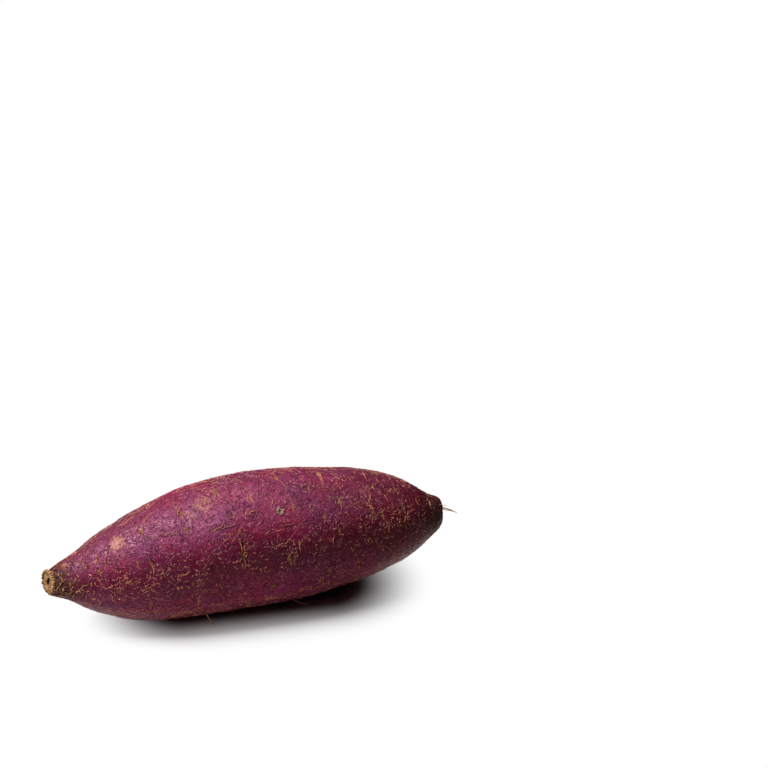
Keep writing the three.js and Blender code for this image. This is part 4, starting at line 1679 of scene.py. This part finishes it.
crumb_centres, crumb_up = paths_on_skin(crumb_along, crumb_turn, crumb_headings, crumb_length)
crumb_profile = scatter.uniform(0.45, 1.1, (crumb_count, CRUMB_STATIONS)) * np.array([0.5, 1.0, 1.0, 0.45])
crumb_thick = (crumb_size[:, None] * crumb_profile)[:, :, None]
crumbs = lay_lumps("cork_crumbs", crumb_centres, crumb_up, crumb_thick, 0.15 * crumb_thick, 0.8)

# %% Curl thick chips of cork on the neck
CHIP_COUNT = 14
CHIP_STATIONS = 7
CHIPS = [
    # share of the length, clock angle, heading in degrees, length and width in millimetres
    (0.103, 67, 10, 2.6, 0.8), (0.104, 68, 100, 2.0, 0.7), (0.110, 68, 60, 2.0, 0.7),
    (0.052, 47, -30, 2.6, 0.8), (0.072, 48, -60, 2.4, 0.7), (0.022, 90, 60, 2.2, 0.8),
    (0.104, 101, 30, 2.4, 0.7), (0.120, 102, 50, 1.2, 0.8), (0.099, 116, 0, 2.2, 0.7),
    (0.030, 50, 80, 2.4, 0.8), (0.065, 90, -30, 2.2, 0.8), (0.036, 100, 20, 2.4, 0.8),
]

more_chips = [
    scatter.beta(1.1, 2.2, CHIP_COUNT) * 0.16 + 0.012,
    scatter.uniform(-180, 180, CHIP_COUNT),
    scatter.uniform(0, 360, CHIP_COUNT),
    scatter.uniform(1.2, 3.4, CHIP_COUNT),
    scatter.uniform(0.5, 0.95, CHIP_COUNT),
]
chip_share, chip_clock, chip_heading, chip_length, chip_width = np.hstack([np.transpose(CHIPS), more_chips])
chip_headings = bending(np.radians(chip_heading), CHIP_STATIONS, 0.5)
chip_paths, chip_up = paths_on_skin(*place_on(chip_share, chip_clock), chip_headings, chip_length)
chip_thick = chip_width[:, None] * scatter.uniform(0.5, 1.1, (len(chip_share), CHIP_STATIONS))
chip_thick *= np.sin(math.pi * np.linspace(0.12, 0.88, CHIP_STATIONS)) ** 0.7
chip_thick = chip_thick[:, :, None]
chips = lay_lumps("neck_chips", chip_paths, chip_up, chip_thick, 0.35 * chip_thick, 1.0)

# %% Lay the broken star: thick flakes turned round one place
STAR_SHARE = 0.565
STAR_CLOCK = 36
STAR_FLAKES = 9
STAR_STATIONS = 6
STAR_REACH = 0.9
STAR_DARK = colour(132, 104, 88)
STAR_PALE = colour(194, 160, 132)

star_shift = scatter.uniform(-0.25, 0.25, STAR_FLAKES)
star_way = 2 * math.pi * (np.arange(STAR_FLAKES) + star_shift) / STAR_FLAKES
star_along, star_turn = place_on(STAR_SHARE, STAR_CLOCK)
flake_along = star_along + STAR_REACH * np.cos(star_way)
flake_turn = star_turn + STAR_REACH * np.sin(star_way) / row_girth.max()
flake_headings = star_way[:, None] + 1.0 + scatter.normal(0, 0.4, (STAR_FLAKES, STAR_STATIONS))
flake_length = scatter.uniform(1.2, 2.4, STAR_FLAKES)
star_paths, star_up = paths_on_skin(flake_along, flake_turn, flake_headings, flake_length)
star_thick = scatter.uniform(0.8, 1.4, (STAR_FLAKES, STAR_STATIONS))[..., None]
star = lay_lumps("broken_star", star_paths, star_up, star_thick, 0.1, 0.5)
tree, shader, _, mask = new_material("broken_star", 0.85, [star], specular=0.2)
tree.links.new(layer(tree, mask("tone"), STAR_DARK, STAR_PALE), shader.inputs["Base Color"])

# %% Colour the crusts and crumbs
CRUST_OCHRE = colour(186, 122, 66)
CRUST_PALE = colour(220, 166, 102)
CRUST_PIT = colour(104, 56, 34)
CRUST_SOIL = colour(96, 58, 44)
HOLE_SHADE_FLOOR = colour(20, 8, 8)

tree, shader, mm, mask = new_material("cork_crust", 0.85, [rings, crumbs, chips, neck_threads])
crust_colour = layer(tree, mask("tone"), CRUST_OCHRE, CRUST_PALE)
crust_pits = clouds(tree, mm, 0.7, 0.4, 0.6, 3.0)
crust_colour = layer(tree, times(tree, crust_pits, 0.4), crust_colour, CRUST_PIT)
crust_colour = layer(tree, dusting(tree, mm, 0.18, 15.0), crust_colour, CRUST_SOIL)
tree.links.new(crust_colour, shader.inputs["Base Color"])
bump(tree, shader, (grit(tree, mm, 0.35, 19.0), 0.12), (crust_pits, -0.1))

# Painted shade: the discs in the rings are nearly black.
_, shader, _, _ = new_material("eye_hole_shade", 0.9, [hole_shades])
shader.inputs["Base Color"].default_value = HOLE_SHADE_FLOOR

# %% [markdown]
# ## The stalk scar
# Where the yam was cut from its vine there is a small disc of pale cork: a hole where the bundle
# of vessels dried out, its floor darkened with painted shade, fibres running out from it like spokes,
# a groove, and a rough rim that has shrunk into lumps. It is modelled as a separate cap, much finer
# than the skin, set over the sunken end of the skin, because its detail is smaller than the skin's
# squares. Rows run from the middle out, over the rim and a little way down the neck, where they dive under
# the skin.

# %% Shape the cap
CAP_COLUMNS = 220
FACE_ROWS = 60
SKIRT_ROWS = 8
PIT_SHARE = 0.27
PIT_FLOOR = 2.0
GROOVE_SHARE = 0.84
SKIRT_DEPTH = 3.2
GAPS_TOWARDS = math.radians(135)
CAP_TURN = np.array((0.0, -0.05, 0.08))
CAP_BACK = np.array((0.1, 0.0, 0.0))

cap_angle = 2 * math.pi * np.arange(CAP_COLUMNS) / CAP_COLUMNS
cap_facing = unit(scar_facing + CAP_TURN)
cap_side, cap_top = cross_axes(-cap_facing)
face_share = np.linspace(0.02, 1.0, FACE_ROWS)[:, None]
angle_grid = cap_angle[None, :] * np.ones((FACE_ROWS, 1))


def round_noise(shares, angles, share_size, angle_waves, place):
    """Noise on the cap that joins up round it: finer along or across the spokes as asked."""
    circle_place = angle_waves / (2 * math.pi) * polar(angles)
    return noise_field(np.concatenate([circle_place, (shares / share_size)[..., None]], axis=-1), 1.0, place)


def cap_way(angle):
    """Directions square to the way the cap faces, at angles round it."""
    return np.cos(angle)[..., None] * cap_side + np.sin(angle)[..., None] * cap_top


shares = face_share * np.ones((1, CAP_COLUMNS))
oval = 1 + 0.22 * np.cos(2 * angle_grid - 0.6) + 0.25 * round_noise(shares * 0, angle_grid, 1.0, 9, 5.0)
pit = 1 - smoothstep(PIT_SHARE * 0.75, PIT_SHARE * 1.15, shares * oval)
spokes = round_noise(shares, angle_grid, 0.35, 60, 11.0) * smoothstep(0.2, 0.4, shares)
rings_of_growth = np.sin(shares * 34 + 2.0 * round_noise(shares, angle_grid, 0.5, 8, 17.0))
groove = bell(shares - GROOVE_SHARE - 0.05 * round_noise(shares * 0, angle_grid, 1.0, 12, 23.0), 0.035)
rim_zone = smoothstep(0.82, 0.93, shares)
knobs_of_rim = smoothstep(-0.2, 0.25, round_noise(shares, angle_grid, 0.3, 44, 29.0))
gaps_of_rim = (1 - knobs_of_rim) * smoothstep(-0.3, 0.5, np.cos(angle_grid - GAPS_TOWARDS))
fine_cork = round_noise(shares, angle_grid, 0.06, 110, 37.0)
cap_height = 0.1 - 0.35 * bell(shares - 0.5, 0.25) + 0.2 * spokes + 0.04 * rings_of_growth - 0.25 * groove
cap_height += rim_zone * (0.6 * knobs_of_rim - 0.8 * gaps_of_rim) + 0.09 * fine_cork
cap_height += 0.15 * bell(shares * oval - PIT_SHARE * 1.5, 0.06) - PIT_FLOOR * pit
cap_height -= 0.6 * smoothstep(0.93, 1.0, shares) ** 2

rim_waves = 0.08 * round_noise(shares * 0, angle_grid, 1.0, 30, 43.0) + 0.02 * np.cos(3 * angle_grid)
rim_radius = scar_radius * (1.0 + rim_waves)
cap_radius = shares * rim_radius
spoke_ways = cap_way(angle_grid)
cap_centre = scar_centre + CAP_BACK
cap_face = cap_centre + cap_radius[..., None] * spoke_ways + cap_height[..., None] * cap_facing

skirt_share = (np.arange(1, SKIRT_ROWS + 1) / SKIRT_ROWS)[:, None] * np.ones((1, CAP_COLUMNS))
skirt_bulge = 1 + 0.02 * np.sin(math.pi * skirt_share) - 0.12 * skirt_share ** 2
skirt_bulge += 0.03 * round_noise(skirt_share, angle_grid[:SKIRT_ROWS], 0.4, 46, 53.0)
skirt_depth = cap_height[-1] - SKIRT_DEPTH * skirt_share
skirt_radius = rim_radius[-1] * skirt_bulge
cap_skirt = cap_centre + skirt_radius[..., None] * spoke_ways[-1] + skirt_depth[..., None] * cap_facing
cap_net = np.concatenate([cap_face, cap_skirt])
CAP_ROWS = len(cap_net)
print("scar cap, mm across:", (2 * rim_radius.mean()).round(1))
print("its relief, mm:", cap_height.min().round(1), "to", cap_height.max().round(1))

# %% Build the cap
cap_poles = [cap_net[0].mean(axis=0), cap_net[-1].mean(axis=0)]
cap_points = np.concatenate([cap_net.reshape(-1, 3), cap_poles])
scar = new_piece("stalk_scar", cap_points, net_faces(CAP_ROWS, CAP_COLUMNS), "cork")

full_shares = np.concatenate([shares, 1 + 0.3 * skirt_share])
full_heights = np.concatenate([cap_height, cap_height[-1] * np.ones_like(skirt_share)])
full_spokes = np.concatenate([spokes, 0 * skirt_share])
store(scar, "reach", np.concatenate([full_shares.ravel(), [0, 1.3]]))
store(scar, "sunk", np.concatenate([smoothstep(-0.15, -0.5, full_heights).ravel(), [1, 0]]))
store(scar, "spoke", np.concatenate([np.clip(0.5 + full_spokes, 0, 1).ravel(), [0.5, 0.5]]))


def disc_map(row, column):
    reach = (row + 1) / (CAP_ROWS + 1) * 0.48
    return 0.5 + reach[..., None] * polar(2 * math.pi * column / CAP_COLUMNS)


fan_column = np.stack([np.arange(CAP_COLUMNS)] * 3, axis=-1) + np.array([0, 0, 1])
centre_map = disc_map(np.tile([-1, 0, 0], (CAP_COLUMNS, 1)), fan_column)
back_reach = np.array([0.03, 0.0, 0.03])[None, :, None]
back_map = 0.04 + back_reach * polar(2 * math.pi * fan_column / CAP_COLUMNS)
lay_map(scar, "OFBake", [disc_map(*net_corners(CAP_ROWS, CAP_COLUMNS)), centre_map, back_map])

# %% Colour the cap
SPOKE_DARK = colour(126, 82, 46)
SPOKE_PALE = colour(206, 154, 98)
RIM_DARK = colour(66, 34, 26)
RIM_PALE = colour(204, 152, 92)
SCAR_SOIL = colour(96, 66, 44)
SCAR_PIT_SHADE = colour(22, 10, 8)

tree, shader, mm, mask = new_material("scar_cork", 0.85, [scar])
cork_colour = layer(tree, fade(tree, mask("spoke"), 0.25, 0.75), SPOKE_DARK, SPOKE_PALE)
rim_share = times(tree, fade(tree, mask("reach"), 0.8, 0.92), 0.85)
cork_colour = layer(tree, rim_share, cork_colour, RIM_DARK)
rim_tips = times(tree, clouds(tree, mm, 0.9, 0.46, 0.6, 3.0), fade(tree, mask("reach"), 0.84, 0.95), 0.85)
cork_colour = layer(tree, rim_tips, cork_colour, RIM_PALE)
cork_colour = layer(tree, dusting(tree, mm, 0.2, 9.0), cork_colour, SCAR_SOIL)
# Painted shade in the pit.
cork_colour = layer(tree, fade(tree, mask("sunk"), 0.1, 0.8), cork_colour, SCAR_PIT_SHADE)
cork_colour = layer(tree, fade(tree, mask("reach"), 1.05, 1.2), cork_colour, NECK_DARK)
tree.links.new(cork_colour, shader.inputs["Base Color"])
bump(tree, shader, (grit(tree, mm, 0.3, 13.0), 0.1))

# %% Stand blunt teeth of cork round the rim
RIM_TEETH = 31
TOOTH_REACH = np.array([0.84, 0.92, 0.99, 1.05, 1.04])
TOOTH_RISE = np.array([0.2, 0.45, 0.35, -0.3, -1.3])
TOOTH_PROFILE = np.array([0.5, 0.9, 1.0, 0.95, 0.5])
TOOTH_DARK = colour(98, 58, 34)
TOOTH_PALE = colour(206, 158, 104)
TOOTH_SOIL = colour(96, 62, 42)

tooth_angle = (np.arange(RIM_TEETH) + scatter.uniform(-0.3, 0.3, RIM_TEETH)) / RIM_TEETH * 2 * math.pi
tooth_out = cap_way(tooth_angle)
tooth_tone = 0.5 + 0.45 * np.cos(tooth_angle - GAPS_TOWARDS) + scatter.uniform(-0.15, 0.15, RIM_TEETH)
tooth_tone = np.clip(tooth_tone, 0, 1)
tooth_size = scatter.uniform(0.6, 0.95, RIM_TEETH) + 0.3 * tooth_tone
tooth_reach = scar_radius * TOOTH_REACH * scatter.uniform(0.97, 1.05, (RIM_TEETH, 1))
tooth_rise = TOOTH_RISE * scatter.uniform(0.6, 1.3, (RIM_TEETH, 1))
tooth_paths = cap_centre + tooth_reach[..., None] * tooth_out[:, None] + tooth_rise[..., None] * cap_facing
tooth_side = np.cross(cap_facing, tooth_out)[:, None] * np.ones((1, len(TOOTH_REACH), 1))
tooth_up = unit(np.cross(unit(np.gradient(tooth_paths, axis=1)), tooth_side))
tooth_thick = (tooth_size[:, None] * TOOTH_PROFILE * scatter.uniform(0.8, 1.2, (RIM_TEETH, 5)))[..., None]
tooth_high = 0.8 * tooth_up * tooth_thick
teeth = sweep("rim_teeth", tooth_paths, tooth_side * tooth_thick, tooth_high, SIX_SIDED, tooth_tone, "cork")
tree, shader, mm, mask = new_material("rim_cork", 0.85, [teeth])
tooth_colour = layer(tree, mask("tone"), TOOTH_DARK, TOOTH_PALE)
tooth_colour = layer(tree, dusting(tree, mm, 0.3, 33.0), tooth_colour, TOOTH_SOIL)
tree.links.new(tooth_colour, shader.inputs["Base Color"])
bump(tree, shader, (grit(tree, mm, 0.35, 37.0), 0.1))

# %% [markdown]
# ## Bristles and hair roots
# Round the rim stand stiff stubs, the broken ends of fibres, and shorter stubs of the same kind stick
# up here and there all over the skin. A few hair roots are still on the yam: thin, tan, tapering, the
# longest under the belly where nothing has brushed them off. All are round strips swept along a path
# that leaves the skin, bends over and never goes below the floor.

# %% Grow thin roots out of the skin
def grow_out(starts, out, lean, lengths, base_width, tip_share, droop, stations):
    """Paths that leave along `out`, turn towards `lean` and bend down by `droop`."""
    share = np.linspace(0, 1, stations)[None, :, None]
    reach = lengths[:, None, None] * share
    bent = out[:, None] * (1 - 0.5 * share) + lean[:, None] * (0.3 + 0.7 * share)
    path = starts[:, None] + unit(bent) * reach
    path[..., 2] -= droop * (lengths[:, None] * share[..., 0] ** 2)
    width = (base_width[:, None] * (1 - (1 - tip_share) * share[..., 0]))[..., None]
    path[..., 2] = np.maximum(path[..., 2], 0.5 * width[..., 0])
    ahead = unit(np.gradient(path, axis=1))
    side = unit(np.cross(ahead, out[:, None] + 0.31 * lean[:, None] + np.array((0.0, 0.13, 0.07))))
    return path, side * width, unit(np.cross(ahead, side)) * width


RIM_BRISTLES = 34
NECK_BRISTLES = 46
BODY_STUBS = 90
STUB_SIZES = [
    # count, shortest and longest, thinnest and thickest in millimetres: at the rim, on the neck, all over
    (RIM_BRISTLES, 0.5, 1.5, 0.4, 0.75),
    (NECK_BRISTLES, 0.35, 0.9, 0.3, 0.5),
    (BODY_STUBS, 0.35, 1.0, 0.16, 0.32),
]

rim_shift = scatter.uniform(-0.35, 0.35, RIM_BRISTLES)
rim_out = cap_way((np.arange(RIM_BRISTLES) + rim_shift) / RIM_BRISTLES * 2 * math.pi)
rim_sunk = scatter.uniform(-1.4, 0.1, RIM_BRISTLES)[:, None]
rim_starts = cap_centre + rim_out * scar_radius * 0.97 + rim_sunk * scar_facing
neck_share = scatter.beta(0.8, 2.2, NECK_BRISTLES) * 0.1 + 0.004
neck_starts, neck_out = on_skin(*place_on(neck_share, scatter.uniform(-180, 180, NECK_BRISTLES)))
stub_starts, stub_out = on_skin(*scatter_places(BODY_STUBS, 0.06, 0.995))
starts = np.concatenate([rim_starts, neck_starts - 0.1 * neck_out, stub_starts - 0.1 * stub_out])
out = np.concatenate([unit(rim_out + 0.35 * scar_facing), neck_out, stub_out])
lengths = np.concatenate([scatter.uniform(short, long, count) for count, short, long, _, _ in STUB_SIZES])
widths = np.concatenate([scatter.uniform(thin, thick, count) for count, _, _, thin, thick in STUB_SIZES])
lean = scatter.normal(0, 0.6, (len(starts), 3))
bristle_paths = grow_out(starts, out, lean, lengths, widths, tip_share=0.3, droop=0.0, stations=5)
bristles = sweep("bristles", *bristle_paths, SIX_SIDED, scatter.uniform(0, 1, len(starts)), "root_fibre")

# %% Lay the hair roots
HAIRS = [
    # share of the length, clock angle, length in mm, lean (along, sideways, up), width
    (0.371, 134, 10.5, (0.35, -1.0, -0.2), 0.85),
    (0.585, 134, 9.0, (0.9, -0.35, -0.1), 0.3),
    (0.992, 30, 8.5, (0.9, -0.3, -0.3), 0.95),
    (0.991, 40, 6.5, (0.95, -0.2, -0.15), 0.7),
    (0.989, 20, 3.5, (0.9, -0.5, -0.1), 0.5),
    (0.431, -20, 1.8, (0.1, 0.3, 0.9), 0.6),
    (0.535, -26, 1.2, (0.2, 0.3, 0.9), 0.4),
    (0.645, -27, 1.6, (0.0, 0.2, 0.9), 0.3),
    (0.21, 118, 2.4, (0.2, -0.8, -0.5), 0.18),
    (0.15, 121, 1.8, (0.1, -0.9, -0.3), 0.18),
    (0.48, -118, 9.0, (0.5, 0.8, -0.3), 0.3),
    (0.70, -135, 7.0, (-0.6, 0.7, -0.1), 0.26),
    (0.83, -60, 4.0, (0.5, 0.5, 0.3), 0.2),
    (0.30, -95, 5.0, (-0.3, 0.9, -0.1), 0.24),
]
HAIR_STATIONS = 12

hair_starts, hair_out = on_skin(*place_on(*columns_of(HAIRS, 0, 1)))
hair_length, hair_lean, hair_width = columns_of(HAIRS, 2, 3, 4)
hair_paths = grow_out(
    hair_starts - 0.2 * hair_out, 0.35 * hair_out, hair_lean, hair_length, hair_width,
    tip_share=0.4, droop=0.12, stations=HAIR_STATIONS,
)
hairs = sweep("hair_roots", *hair_paths, SIX_SIDED, scatter.uniform(0.4, 1, len(HAIRS)), "root_fibre")

# %% Colour the fibres
FIBRE_DARK = colour(168, 112, 64)
FIBRE_PALE = colour(232, 182, 118)
FIBRE_SPECK = colour(92, 58, 36)
FIBRE_FOOT = colour(96, 60, 40)

tree, shader, mm, mask = new_material("root_fibre", 0.7, [bristles, hairs])
fibre_colour = layer(tree, mask("tone"), FIBRE_DARK, FIBRE_PALE)
fibre_grain = grit(tree, mm, 0.8, 5.0)
fibre_specks = times(tree, fade(tree, fibre_grain, 0.4, 0.7), 0.35)
fibre_colour = layer(tree, fibre_specks, fibre_colour, FIBRE_SPECK)
fibre_colour = layer(tree, fade(tree, mask("along_strip"), 0.12, 0.0), fibre_colour, FIBRE_FOOT)
tree.links.new(fibre_colour, shader.inputs["Base Color"])
bump(tree, shader, (fibre_grain, 0.05))
